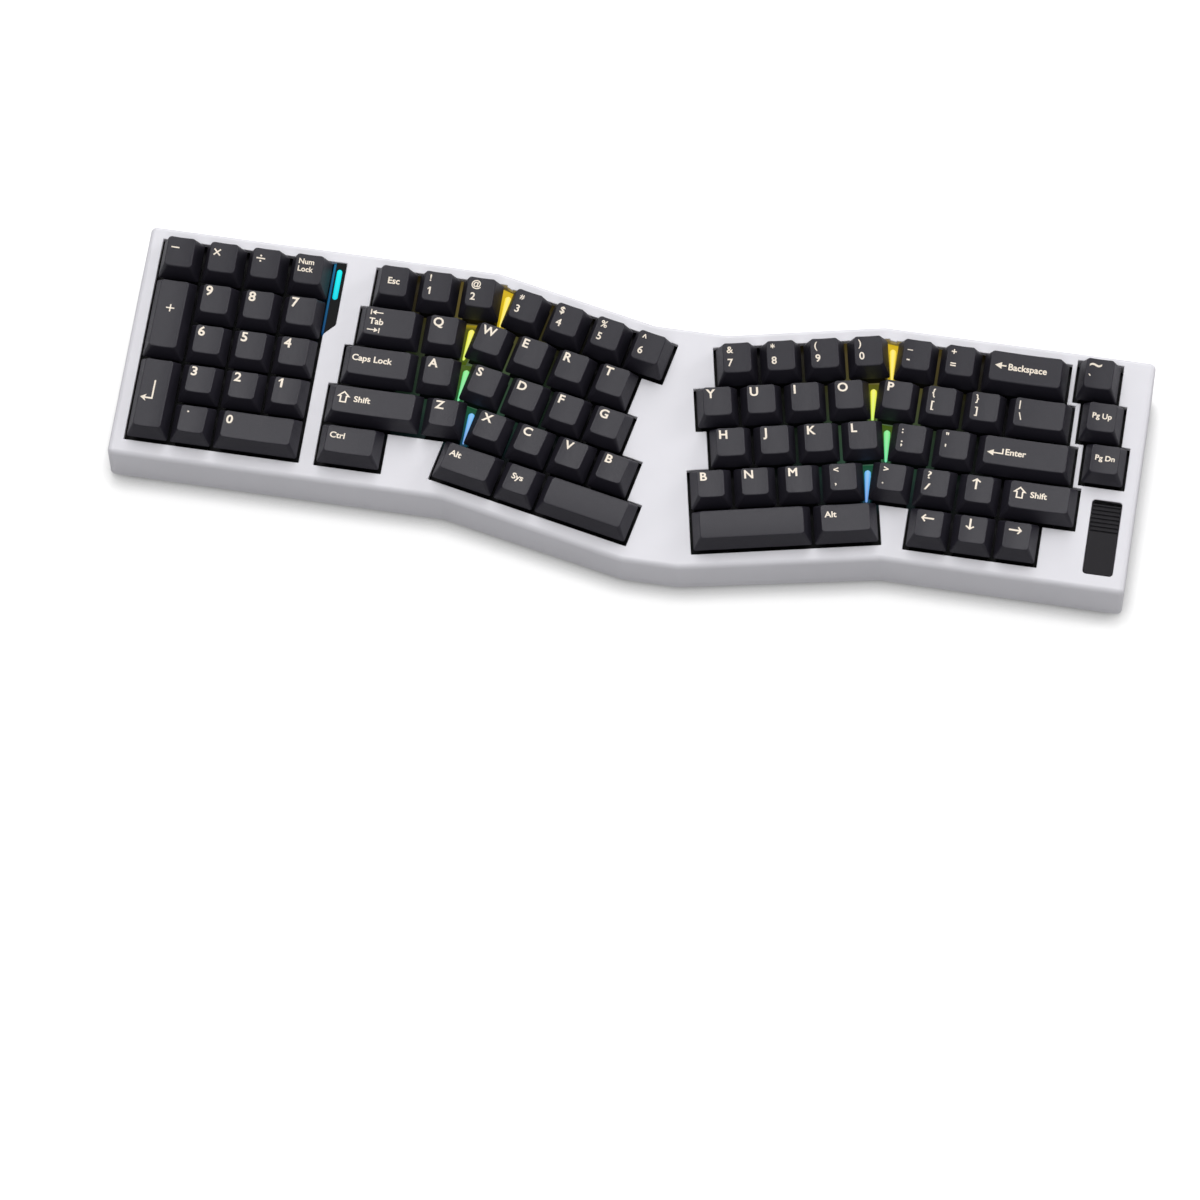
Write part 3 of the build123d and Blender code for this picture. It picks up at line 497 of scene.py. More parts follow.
@dataclass(frozen=True)
class Keycap:
    """A hollow keycap about its own centre, with its sizes in millimetres."""

    width: float                # counted in keys, as is the height
    height: float
    row: Row
    skirt: float = 1.0
    gap: float = 1.1
    wall: float = 1.3
    shortening: float = 4.5
    set_back: float = 0.5
    dish: float = 0.5
    crown_radius: float = 40.0
    roof: float = 1.2
    lowest_ceiling: float = 5.0
    edge_radius: float = 0.45
    edge_steps: int = 4         # rings round the top edge
    base_corner: float = 0.9
    top_corner: float = 1.7
    stem: tuple[float, float] = (7.0, 5.4)
    side_stem: tuple[float, float] = (3.6, 5.0)
    stem_bottom: float = -1.2
    stem_spread: float = 11.94
    stem_corner: float = 0.5
    stem_overlap: float = 0.2   # how far a stem reaches into the roof
    least_corner: float = 0.4
    skirt_tuck: float = 0.15    # how far the skirt's lower edge is drawn in
    wall_levels: tuple[float, ...] = (0.0, 0.02, 0.5, 1.0)  # shares of its height
    long_key: float = 2.0       # units from which a key has side stems
    steps: int = 12             # segments on each side
    arc: int = 3                # how many of them lie on each half corner

    @property
    def base(self) -> tuple[float, float]:
        """Width and depth at the skirt."""
        return self.width * PITCH - self.gap, self.height * PITCH - self.gap

    @property
    def top(self) -> tuple[float, float]:
        """Width and depth of the top face."""
        return self.base[0] - self.row.value.narrowing, self.base[1] - self.shortening

    def top_height(self, x: Array, y: Array) -> Array:
        """Height of the top face over the deck.

        A plane through the middle of the top, tilted by the row's angle, less a dish
        whose depth falls with the square of x to nothing at the sides, or on a spacebar
        less the square of y over twice the crown's radius.

        Args:
            x: places across the cap.
            y: places along the cap.

        Returns:
            Heights in mm.
        """
        shape = self.row.value
        plane = self.skirt + shape.rise - math.tan(math.radians(shape.tilt)) * (y - self.set_back)
        if shape.crowned:
            return plane - (y - self.set_back) ** 2 / (2 * self.crown_radius)
        share = np.clip(np.abs(x) / (self.top[0] / 2), 0, 1)
        return plane - self.dish * (1 - share**2)

    def walls(self, inset: float) -> tuple[Array, Array]:
        """Work out the feet and heads of a wall's straight lines.

        They start on the skirt's rounded rectangle and end on that of the top face, at
        the top face's height there.

        Args:
            inset: how far the wall lies inside the outer one.

        Returns:
            Two rings of (4 * steps, 3).
        """
        halves = np.array([self.base, self.top]) / 2 - inset
        radii = np.maximum([self.base_corner - inset, self.top_corner - inset], self.least_corner)
        base, top = ring(halves[:, 0], halves[:, 1], radii, self.steps, self.arc)[..., :2]
        top = top + [0, self.set_back]
        foot = np.column_stack([base, np.full(len(base), self.skirt)])
        return foot, np.column_stack([top, self.top_height(top[:, 0], top[:, 1])])

    def outside(self) -> Array:
        """Rings from the skirt up the wall and round the top edge.

        The top edge is a quarter turn: inset by radius times (1 - cos a), and below
        the top face by radius times (1 - sin a), as a goes from 0 to 90 degrees.

        Returns:
            Array of (levels, 4 * steps, 3).
        """
        foot, head = self.walls(0.0)
        end = 1 - self.edge_radius / (head[:, 2] - self.skirt)
        shares = np.array(self.wall_levels)[:, None] * end
        wall = foot + shares[..., None] * (head - foot)
        outward = ring(np.ones(1), np.ones(1), np.ones(1), self.steps, self.arc)[0, :, 2:]
        wall[0, :, :2] -= outward * self.skirt_tuck
        angle = np.radians(np.linspace(0, 90, self.edge_steps + 1)[1:])[:, None]
        inset = self.edge_radius * (1 - np.cos(angle))
        drop = self.edge_radius * (1 - np.sin(angle))
        places = wall[-1:, :, :2] - outward[None] * inset[..., None]
        height = self.top_height(places[..., 0], places[..., 1]) - drop
        return np.concatenate([wall, np.concatenate([places, height[..., None]], -1)])

    def ceiling(self) -> float:
        """Work out the cavity's ceiling: a roof's thickness under the lowest top.

        Returns:
            Its height in mm.
        """
        shape = self.row.value
        drop = self.top[1] / 2 * abs(math.tan(math.radians(shape.tilt)))
        return max(self.skirt + shape.rise - drop - self.dish - self.roof, self.lowest_ceiling)

    def shell(self) -> Surface:
        """Build the cap: cavity, skirt, wall, rounded edge and dished top.

        Returns:
            One closed surface.
        """
        foot, head = self.walls(self.wall)
        share = (self.ceiling() - self.skirt) / (head[:, 2] - self.skirt)
        inside = np.stack([foot + share[:, None] * (head - foot), foot])
        rings = np.concatenate([inside, self.outside()])
        return close_rings(rings, self.steps, self.top_height)

    def post(self, size: tuple[float, float], x: float, y: float) -> Surface:
        """Build one stem: a rounded bar from its foot to the ceiling.

        Args:
            size: width and depth.
            x: place across the cap.
            y: place along the cap.

        Returns:
            One closed surface.
        """
        steps, arc = 4, 1
        heights = np.array([self.stem_bottom, self.ceiling() + self.stem_overlap])
        halves = np.tile(np.array(size) / 2, (2, 1))
        corners = np.full(2, self.stem_corner)
        outline = ring(halves[:, 0], halves[:, 1], corners, steps, arc)[..., :2] + [x, y]
        level = np.broadcast_to(heights[:, None, None], (*outline.shape[:2], 1))
        return close_rings(np.concatenate([outline, level], -1), steps)

    def build(self) -> Surface:
        """Build the cap with its stem, and with side stems where it is long.

        Returns:
            The closed surfaces in one.
        """
        pieces = [self.shell(), self.post(self.stem, 0, 0)]
        if max(self.width, self.height) >= self.long_key:
            for side in (-self.stem_spread, self.stem_spread):
                place = (side, 0) if self.width > self.height else (0, side)
                size = self.side_stem if self.width > self.height else self.side_stem[::-1]
                pieces.append(self.post(size, *place))
        return Surface.join(pieces)


def dot(x: float, y: float, radius: float) -> tuple[tuple[float, float], ...]:
    """Return a round dot as a polygon of twelve corners."""
    angles = [math.radians(30 * step) for step in range(12)]
    return tuple((x + radius * math.cos(a), y + radius * math.sin(a)) for a in angles)


class Icon(Enum):
    """Signs drawn on the caps, as polygons in units of their size."""

    ARROW = (((0, 0), (0.4, 0.5), (0.53, 0.39), (0.32, 0.11), (1.45, 0.11), (1.45, -0.11),
              (0.32, -0.11), (0.53, -0.39), (0.4, -0.5)),)
    SOLID_ARROW = (((0, 0), (0.95, 0.5), (0.95, 0.1), (1.6, 0.1), (1.6, -0.1),
                    (0.95, -0.1), (0.95, -0.5)),)
    TALL_RETURN = (((0, 0), (0.3, 0.19), (0.24, 0.045), (0.55, 0.045), (0.55, 1.0),
                    (0.63, 1.0), (0.63, -0.045), (0.24, -0.045), (0.3, -0.19)),)
    LOW_RETURN = (((0, 0), (0.95, 0.5), (0.95, 0.1), (2.15, 0.1), (2.15, 0.8), (2.35, 0.8),
                   (2.35, -0.1), (0.95, -0.1), (0.95, -0.5)),)
    SHIFT = (((0.5, 1.0), (1.0, 0.5), (0.76, 0.5), (0.76, 0.0), (0.24, 0.0), (0.24, 0.5),
              (0.0, 0.5)),
             ((0.5, 0.85), (0.25, 0.6), (0.35, 0.6), (0.35, 0.11), (0.65, 0.11), (0.65, 0.6),
              (0.75, 0.6)))
    TAB_BACK = (((0, 0.5), (0.17, 0.5), (0.17, -0.5), (0, -0.5)),
                ((0.25, 0), (0.95, 0.45), (0.95, 0.1), (2.2, 0.1), (2.2, -0.1),
                 (0.95, -0.1), (0.95, -0.45)))
    MINUS = (((-0.5, 0.08), (0.5, 0.08), (0.5, -0.08), (-0.5, -0.08)),)
    PLUS = (((-0.08, 0.5), (0.08, 0.5), (0.08, 0.08), (0.5, 0.08), (0.5, -0.08),
             (0.08, -0.08), (0.08, -0.5), (-0.08, -0.5), (-0.08, -0.08), (-0.5, -0.08),
             (-0.5, 0.08), (-0.08, 0.08)),)
    DIVIDE = (((-0.5, 0.08), (0.5, 0.08), (0.5, -0.08), (-0.5, -0.08)),
              dot(0, 0.32, 0.12), dot(0, -0.32, 0.12))
    ONE = (((0, 0.7), (0.26, 1), (0.44, 1), (0.44, 0), (0.24, 0), (0.24, 0.77), (0.07, 0.58)),)
    POINT = (dot(0, 0, 0.5),)


@dataclass(frozen=True)
class Mark:
    """One legend: its sign or text, height in mm and place on the cap's top.

    left and back are measured from the top face's left and rear edges to the mark's.
    A mark that is centred ignores left.
    """

    sign: str | Icon
    height: float
    left: float = 0.0
    back: float = 0.0
    centred: bool = False
    turn: int = 0               # degrees, counter-clockwise
    weight: float = 0.02        # how far the strokes are fattened, for text of size 1
    stretch: float = 1.0        # how much wider than the font's the text is


Legend = tuple[Mark, ...]


WORD_HEIGHT = 3.0
WORD_WEIGHT = 0.024


def letters(text: str) -> tuple[Legend, ...]:
    """Return a large letter in the rear left corner for each character."""
    return tuple((Mark(sign, 4.2, 1.2, 1.0, weight=0.028),) for sign in text)


def digits(text: str) -> tuple[Legend, ...]:
    """Return a number pad digit in the rear left corner for each character."""
    return tuple((Mark(sign, 4.6, 1.1, 0.7, weight=0.026),) for sign in text)


def pair(upper: str, lower: str) -> Legend:
    """Return a sign with another below it."""
    return (Mark(upper, 3.1, 1.7, 1.5), Mark(lower, 3.4, 1.9, 7.2))


def word(text: str, left: float, back: float) -> Legend:
    """Return a short word in small letters."""
    return (Mark(text, WORD_HEIGHT, left, back, weight=WORD_WEIGHT),)


@dataclass(frozen=True)
class Block:
    """A group of rows that share an origin and a turn, as in the part's source."""

    x: float                    # deck mm
    y: float
    turn: float = 0.0           # degrees, counter-clockwise


PAD = Block(0.0, 0.0)
LEFT_STRAIGHT = Block(0.0, 0.0)
LEFT_TURNED = Block(156.14, -1.86, -11.6)
RIGHT_TURNED = Block(247.23, -16.33, 11.6)
RIGHT_STRAIGHT = Block(21.107 * PITCH, -1.57)
SIDE_COLUMN = Block(21.273 * PITCH, 1.02)


@dataclass(frozen=True)
class KeyRun:
    """Keys of one node side by side: where they start, their row and their legends."""

    node: str
    block: Block
    start: float                # keys to the right of the block's origin
    line: float                 # keys below it
    row: Row
    legends: tuple[Legend, ...]
    width: float = 1.0          # of each key, in keys, as is the height
    height: float = 1.0

    def places(self) -> Array:
        """Return each key's centre in deck millimetres."""
        return self.spots(np.arange(len(self.legends)) + 0.5, 0.5)

    def spots(self, along: Array, down: float) -> Array:
        """Work out places counted in keys along the run and in key heights down.

        Args:
            along: how many keys each place lies from the run's start.
            down: how many key heights they lie below its rear edge.

        Returns:
            Rows of deck x and y.
        """
        u = (self.start + along * self.width) * PITCH
        v = np.full(len(u), -(self.line + down * self.height) * PITCH)
        return turned(np.column_stack([u, v]), self.block.turn) + [self.block.x, self.block.y]


def turned(points: Array, degrees: float) -> Array:
    """Turn plane points counter-clockwise about the origin.

    Args:
        points: rows of x and y.
        degrees: the angle.

    Returns:
        The turned rows.
    """
    angle = math.radians(degrees)
    cosine, sine = math.cos(angle), math.sin(angle)
    return points @ np.array([[cosine, sine], [-sine, cosine]])


SHIFT_MARKS = (Mark(Icon.SHIFT, 6.0, 1.2, 2.7), *word("Shift", 8.8, 4.6))
SIDE_ARROW = {"height": 3.9, "left": 1.9, "back": 2.2}
UP_ARROW = {"height": 3.9, "left": 2.2, "back": 1.4}
KEY_RUNS = [
    KeyRun("pad_operator_keys", PAD, 0, 0, Row.DIGIT, (
        (Mark(Icon.MINUS, 3.6, 1.8, 4.6),), (Mark(Icon.PLUS, 4.0, 1.5, 2.9, turn=45),),
        (Mark(Icon.DIVIDE, 3.8, 1.6, 3.0),),
        (Mark("Num", 2.5, 1.3, 2.1, weight=WORD_WEIGHT),
         Mark("Lock", 2.5, 1.3, 5.6, weight=WORD_WEIGHT)))),
    KeyRun("pad_upper_keys", PAD, 1, 1, Row.UPPER, digits("987")),
    KeyRun("pad_middle_keys", PAD, 1, 2, Row.HOME, digits("654")),
    KeyRun("pad_lower_keys", PAD, 1, 3, Row.LOWER, (
        *digits("32"), (Mark(Icon.ONE, 4.6, 1.4, 0.7),))),
    KeyRun("pad_plus_key", PAD, 0, 1, Row.TALL, (
        (Mark(Icon.PLUS, 3.6, 0, 11.6, True),),), height=2),
    KeyRun("pad_enter_key", PAD, 0, 3, Row.TALL, (
        (Mark(Icon.TALL_RETURN, 8.8, 0.7, 10.0),),), height=2),
    KeyRun("pad_point_key", PAD, 1, 4, Row.LOWER, ((Mark(Icon.POINT, 0.9, 2.7, 2.7),),)),
    KeyRun("pad_zero_key", PAD, 2, 4, Row.LOWER, ((Mark("0", 4.3, 1.2, 2.1, weight=0.026),),), 2),
    KeyRun("escape_key", LEFT_STRAIGHT, 5, 0, Row.DIGIT, (word("Esc", 3.3, 5.2),)),
    KeyRun("left_digit_keys", LEFT_STRAIGHT, 6, 0, Row.DIGIT, (
        (Mark("!", 3.1, 2.3, 1.5), Mark(Icon.ONE, 3.4, 1.9, 7.2)), pair("@", "2"))),
    KeyRun("tab_key", LEFT_STRAIGHT, 4.8, 1, Row.UPPER, (
        (Mark(Icon.TAB_BACK, 2.5, 2.0, 1.4), *word("Tab", 1.9, 5.4),
         Mark(Icon.TAB_BACK, 2.5, 1.6, 9.9, turn=180)),), 1.5),
    KeyRun("left_upper_keys", LEFT_STRAIGHT, 6.3, 1, Row.UPPER, letters("Q")),
    KeyRun("caps_lock_key", LEFT_STRAIGHT, 4.6, 2, Row.HOME, (word("Caps Lock", 1.2, 4.0),), 1.75),
    KeyRun("left_home_keys", LEFT_STRAIGHT, 6.35, 2, Row.HOME, letters("A")),
    KeyRun("left_shift_key", LEFT_STRAIGHT, 4.4, 3, Row.LOWER, (SHIFT_MARKS,), 2.25),
    KeyRun("left_lower_keys", LEFT_STRAIGHT, 6.65, 3, Row.LOWER, letters("Z")),
    KeyRun("control_key", LEFT_STRAIGHT, 4.4, 4, Row.LOWER, (word("Ctrl", 1.3, 3.3),), 1.5),
    KeyRun("left_digit_keys", LEFT_TURNED, 0, 0, Row.DIGIT, (
        (Mark("#", 2.3, 2.1, 2.0), Mark("3", 3.4, 1.9, 7.2)),
        pair("$", "4"), pair("%", "5"), pair("^", "6"))),
    KeyRun("left_upper_keys", LEFT_TURNED, -0.5, 1, Row.UPPER, letters("WERT")),
    KeyRun("left_home_keys", LEFT_TURNED, -0.25, 2, Row.HOME, letters("SDFG")),
    KeyRun("left_lower_keys", LEFT_TURNED, 0.25, 3, Row.LOWER, letters("XCVB")),
    KeyRun("left_alt_key", LEFT_TURNED, -0.14, 4, Row.LOWER, (word("Alt", 1.4, 3.3),), 1.5),
    KeyRun("system_key", LEFT_TURNED, 1.36, 4, Row.LOWER, (word("Sys", 2.0, 4.2),)),
    KeyRun("left_space_key", LEFT_TURNED, 2.36, 4, Row.SPACE, ((),), 2.25),
    KeyRun("right_digit_keys", RIGHT_TURNED, 0, 0, Row.DIGIT, (
        pair("&", "7"), pair("*", "8"), pair("(", "9"), pair(")", "0"))),
    KeyRun("right_upper_keys", RIGHT_TURNED, -0.5, 1, Row.UPPER, letters("YUIO")),
    KeyRun("right_home_keys", RIGHT_TURNED, -0.25, 2, Row.HOME, letters("HJKL")),
    KeyRun("right_lower_keys", RIGHT_TURNED, -0.75, 3, Row.LOWER, (
        *letters("BNM"), pair("<", ","))),
    KeyRun("right_space_key", RIGHT_TURNED, -0.75, 4, Row.SPACE, ((),), 2.75),
    KeyRun("right_alt_key", RIGHT_TURNED, 2.0, 4, Row.LOWER, (word("Alt", 1.4, 3.3),), 1.5),
    KeyRun("right_digit_keys", RIGHT_STRAIGHT, -4, 0, Row.DIGIT, (pair("_", "-"), pair("+", "="))),
    KeyRun("backspace_key", RIGHT_STRAIGHT, -2, 0, Row.DIGIT, (
        (Mark(Icon.SOLID_ARROW, 3.1, 2.1, 4.9), *word("Backspace", 8.0, 5.1)),), 2),
    KeyRun("right_upper_keys", RIGHT_STRAIGHT, -4.3, 1, Row.UPPER, (
        *letters("P"), pair("{", "["), pair("}", "]"))),
    KeyRun("backslash_key", RIGHT_STRAIGHT, -1.3, 1, Row.UPPER, (pair("|", "\\"),), 1.5),
    KeyRun("right_home_keys", RIGHT_STRAIGHT, -3.85, 2, Row.HOME, (
        pair(":", ";"), pair("\"", "'"))),
    KeyRun("enter_key", RIGHT_STRAIGHT, -1.85, 2, Row.HOME, (
        (Mark(Icon.LOW_RETURN, 3.0, 1.3, 5.6), *word("Enter", 9.2, 5.4)),), 2.25),
    KeyRun("right_lower_keys", RIGHT_STRAIGHT, -4.15, 3, Row.LOWER, (
        pair(">", "."),
        (Mark("?", 3.7, 1.9, 1.2, weight=0.01, stretch=1.35),
         Mark("/", 3.2, 1.2, 7.4, weight=0.015, stretch=1.9)))),
    KeyRun("up_key", RIGHT_STRAIGHT, -2.15, 3, Row.LOWER, (
        (Mark(Icon.ARROW, turn=-90, **UP_ARROW),),)),
    KeyRun("right_shift_key", RIGHT_STRAIGHT, -1.15, 3, Row.LOWER, (SHIFT_MARKS,), 1.75),
    KeyRun("left_key", RIGHT_STRAIGHT, -3.15, 4, Row.LOWER, ((Mark(Icon.ARROW, **SIDE_ARROW),),)),
    KeyRun("down_key", RIGHT_STRAIGHT, -2.15, 4, Row.LOWER, (
        (Mark(Icon.ARROW, turn=90, **UP_ARROW),),)),
    KeyRun("right_key", RIGHT_STRAIGHT, -1.15, 4, Row.LOWER, (
        (Mark(Icon.ARROW, turn=180, **SIDE_ARROW),),)),
    KeyRun("tilde_key", SIDE_COLUMN, 0, 0, Row.DIGIT, (
        (Mark("~", 6.7, 1.4, -1.1, weight=0.005), Mark("`", 3.4, 1.3, 7.2)),)),
    KeyRun("page_up_key", SIDE_COLUMN, 0.2, 1, Row.UPPER, (
        (Mark("Pg Up", 2.6, 0, 4.9, True, weight=WORD_WEIGHT),),)),
    KeyRun("page_down_key", SIDE_COLUMN, 0.4, 2, Row.HOME, (
        (Mark("Pg Dn", 2.6, 0, 4.9, True, weight=WORD_WEIGHT),),)),
]


@dataclass
class LegendCutter:
    """Turns signs and text into thin closed shapes that lie on a cap's top."""

    thickness: float = 0.04     # mm over the cap
    curve_steps: int = 4        # segments on each curve of the font
    sharpest: float = 0.64      # least square of two edges' summed normals

    @cached_property
    def capital(self) -> float:
        """Height of a capital at text size 1."""
        return float(np.ptp(self.fill("H")[0][:, 1]))

    def fill(self, sign: str | Icon) -> tuple[Array, Array]:
        """Fill the flat outline of a sign or text with triangles.

        Args:
            sign: text or an icon.

        Returns:
            Plane points, and triangles that all run counter-clockwise.
        """
        if isinstance(sign, Icon):
            curve = bpy.data.curves.new("sign", "CURVE")
            curve.dimensions = "2D"
            for polygon in sign.value:
                spline = curve.splines.new("POLY")
                spline.points.add(len(polygon) - 1)
                spline.points.foreach_set("co", [c for x, y in polygon for c in (x, y, 0, 1)])
                spline.use_cyclic_u = True
        else:
            curve = bpy.data.curves.new("sign", "FONT")
            curve.body = sign
            curve.resolution_u = self.curve_steps
        curve.fill_mode = "FRONT"
        holder = bpy.data.objects.new("sign", curve)
        mesh = bpy.data.meshes.new_from_object(holder)
        points = np.zeros(len(mesh.vertices) * 3)
        mesh.vertices.foreach_get("co", points)
        mesh.calc_loop_triangles()
        faces = np.zeros(len(mesh.loop_triangles) * 3, int)
        mesh.loop_triangles.foreach_get("vertices", faces)
        bpy.data.objects.remove(holder)
        bpy.data.meshes.remove(mesh)
        flat, faces = points.reshape(-1, 3)[:, :2], faces.reshape(-1, 3)
        first, second = flat[faces[:, 1]] - flat[faces[:, 0]], flat[faces[:, 2]] - flat[faces[:, 0]]
        backward = first[:, 0] * second[:, 1] < first[:, 1] * second[:, 0]
        return flat, np.where(backward[:, None], faces[:, ::-1], faces)

    def prism(self, flat: Array, faces: Array, weight: float) -> Surface:
        """Fatten a filled outline and make it a closed slab from height 0 to 1.

        An edge is on the border where no other triangle runs along it the other way.
        Each border point moves out by its two edges' normals, added and divided by
        half the square of their sum, times the weight.

        Args:
            flat: plane points.
            faces: counter-clockwise triangles.
            weight: how far a straight edge moves.

        Returns:
            The slab.
        """
        edges = faces[:, [0, 1, 1, 2, 2, 0]].reshape(-1, 2)
        count = len(flat)
        ahead, back = edges @ [count, 1], edges @ [1, count]
        border = edges[~np.isin(ahead, back)]
        step = flat[border[:, 1]] - flat[border[:, 0]]
        outward = np.column_stack([step[:, 1], -step[:, 0]])
        outward /= np.linalg.norm(step, axis=1, keepdims=True)
        total = np.zeros_like(flat)
        np.add.at(total, border[:, 0], outward)
        np.add.at(total, border[:, 1], outward)
        square = np.maximum((total**2).sum(1, keepdims=True), self.sharpest)
        wide = flat + weight * 2 * total / square
        levels = np.repeat([0.0, 1.0], count)
        walls = np.column_stack([border, border[:, ::-1] + count])
        sheets = np.vstack([faces[:, ::-1], faces + count])
        return Surface(np.column_stack([np.tile(wide, (2, 1)), levels]), walls, sheets)

    def cut(self, mark: Mark, cap: Keycap) -> Surface:
        """Lay one mark on a cap's top.

        The shape is turned and scaled, its left edge and its upper edge, or for text
        the upper line of its capitals, are set off from those of the top face, and each
        point takes the top face's height there.

        Args:
            mark: the mark.
            cap: the cap it lies on.

        Returns:
            The mark about the cap's centre, in mm.
        """
        drawn = isinstance(mark.sign, Icon)
        shape = self.prism(*self.fill(mark.sign), 0.0 if drawn else mark.weight)
        flat = turned(shape.points[:, :2], mark.turn)
        if drawn:
            flat = flat * mark.height
            upper = flat[:, 1].max()
        else:
            size = mark.height / (self.capital + 2 * mark.weight)
            flat = flat * size * [mark.stretch, 1.0]
            upper = mark.height - mark.weight * size
        low, high = flat.min(0), flat.max(0)
        top_x, top_y = cap.top[0] / 2, cap.top[1] / 2
        x = -(low[0] + high[0]) / 2 if mark.centred else mark.left - top_x - low[0]
        flat = flat + [x, cap.set_back + top_y - mark.back - upper]
        height = cap.top_height(flat[:, 0], flat[:, 1]) + self.thickness * shape.points[:, 2]
        return shape.moved(np.column_stack([flat, height]))


@dataclass
class Keys:
    """All keycaps with their legends, one piece of each for every CAD node."""

    cutter: LegendCutter = field(default_factory=LegendCutter)

    def build(self) -> list[bpy.types.Object]:
        """Build the caps and legends of every node.

        Returns:
            The new pieces.
        """
        caps: dict[str, list[Surface]] = {}
        marks: dict[str, list[Surface]] = {}
        for run in KEY_RUNS:
            cap = Keycap(run.width, run.height, run.row)
            shape = cap.build()
            for place, legend in zip(run.places(), run.legends):
                caps.setdefault(run.node, []).append(self.put(shape, place, run.block.turn))
                for mark in legend:
                    sign = self.put(self.cutter.cut(mark, cap), place, run.block.turn)
                    marks.setdefault(run.node, []).append(sign)
        pieces = []
        for node, surfaces in caps.items():
            mesh = Surface.join(surfaces).mesh(f"{node}_caps")
            pieces.append(add_piece(mesh, PBT, f"{node}_body", (node,)))
        for node, surfaces in marks.items():
            mesh = Surface.join(surfaces).mesh(f"{node}_legends")
            pieces.append(add_piece(mesh, PBT_CREAM, f"{node}_body", smooth=False))
        return pieces

    def put(self, shape: Surface, place: Array, turn: float) -> Surface:
        """Move a shape from a cap's centre to its place on the deck.

        Args:
            shape: the shape about the cap's centre, in mm.
            place: the cap's centre in deck mm.
            turn: the block's turn in degrees.

        Returns:
            The shape in metres of the frame.
        """
        plan = turned(shape.points[:, :2], turn) + place
        return shape.moved(DECK.place(np.column_stack([plan, shape.points[:, 2]])))


# Case


FLAT_ENOUGH = 2.5           # degrees between two triangles that count as one face
SAME_POINT = 2e-6           # metres, closer points become one
BOSS_PLAY = 0.01            # mm, what counts as the same place across the wall
BOSS_RISE = 0.1             # mm, what counts as the same height
BOSS_REACH = 0.6            # mm, more than any boss stands out of the wall
BOSS_FRONT = -45.9          # mm, the bosses' outer faces lie in front of this y


class Edges(Enum):
    """Which edges of a CAD solid get rounded."""

    ALL = "all"
    UPPER = "upper"
    LOWER = "lower"


def sink_bosses(work: bmesh.types.BMesh) -> None:
    """Draw the screw bosses that stand out of the front wall back to it.

    In the CAD four of them come through the wall by up to 0.5 mm. A point in front of
    the wall is welded to the one straight behind it, where boss and wall meet.

    Args:
        work: the merged copy of a CAD solid, changed in place.
    """
    points = list(work.verts)
    spots = np.array([point.co[:] for point in points]) / MM
    across, behind, above = np.moveaxis(spots[None] - spots[:, None], -1, 0)
    level = (np.abs(across) < BOSS_PLAY) & (np.abs(above) < BOSS_RISE)
    close = (behind > BOSS_PLAY) & (behind < BOSS_REACH) & (spots[:, 1] < BOSS_FRONT)[:, None]
    pairs = np.argwhere(level & close)
    bmesh.ops.weld_verts(work, targetmap={points[outer]: points[wall] for outer, wall in pairs})


@dataclass
class RoundedSolid:
    """A merged copy of a CAD node whose sharp edges are rounded."""

    node: str
    finish: Finish
    slot: str
    radius: float = 0.3         # mm
    segments: int = 3
    edges: Edges = Edges.ALL
    angle: float = 25.0         # degrees between two faces that count as an edge
    square: float = 60.0        # degrees over which an edge counts as square
    square_weight: float = 1.0  # share of the radius that square edges get
    rim: float = -0.05          # mm over the deck: an upper edge reaches over this
    rim_foot: float = -1.5      # or lies wholly over this
    sole: float = 2.2           # mm over the desk: a lower edge lies wholly under this

    def build(self) -> bpy.types.Object:
        """Copy, merge and round the node.

        Returns:
            The piece that stands for the node.
        """
        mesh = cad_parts[self.node].data.copy()
        mesh.name = f"{self.node}_finished"
        work = bmesh.new()
        work.from_mesh(mesh)
        bmesh.ops.remove_doubles(work, verts=work.verts, dist=SAME_POINT)
        sink_bosses(work)
        bmesh.ops.dissolve_limit(
            work, angle_limit=math.radians(FLAT_ENOUGH), verts=work.verts, edges=work.edges
        )
        work.to_mesh(mesh)
        work.free()
        self.weigh(mesh)
        piece = add_piece(mesh, self.finish, CASE, (self.node,))
        bevel = piece.modifiers.new("rounding", "BEVEL")
        bevel.limit_method = "WEIGHT"
        bevel.width = self.radius * MM
        bevel.segments = self.segments
        bevel.use_clamp_overlap = False
        bevel.harden_normals = False
        # The rounding goes before the even shading
        piece.modifiers.move(1, 0)
        return piece

    def weigh(self, mesh: bpy.types.Mesh) -> None:
        """Give the edges to round a bevel weight and mark the other edges sharp.

        An edge counts where its two faces meet at more than the angle limit and where
        it lies in the wanted part of the solid. Square edges can get a smaller weight
        than the flatter ones of a bevel.

        Args:
            mesh: the merged copy.
        """
        work = bmesh.new()
        work.from_mesh(mesh)
        weight = work.edges.layers.float.new("bevel_weight_edge")
        for edge in work.edges:
            angle = math.degrees(edge.calc_face_angle(0.0))
            if angle < self.angle:
                continue
            if self.wanted(np.array([vertex.co[:] for vertex in edge.verts])):
                edge[weight] = 1.0 if angle < self.square else self.square_weight
            else:
                edge.smooth = False
        work.to_mesh(mesh)
        work.free()

    def wanted(self, ends: Array) -> bool:
        """Tell whether an edge is to be rounded.

        Args:
            ends: its two ends in metres.

        Returns:
            Whether it lies in the wanted part of the solid.
        """
        heights = DECK.heights(ends)
        if self.edges is Edges.UPPER:
            return bool(heights.max() > self.rim or heights.min() > self.rim_foot)
        if self.edges is Edges.LOWER:
            return bool(ends[:, 2].max() < self.sole * MM)
        return True


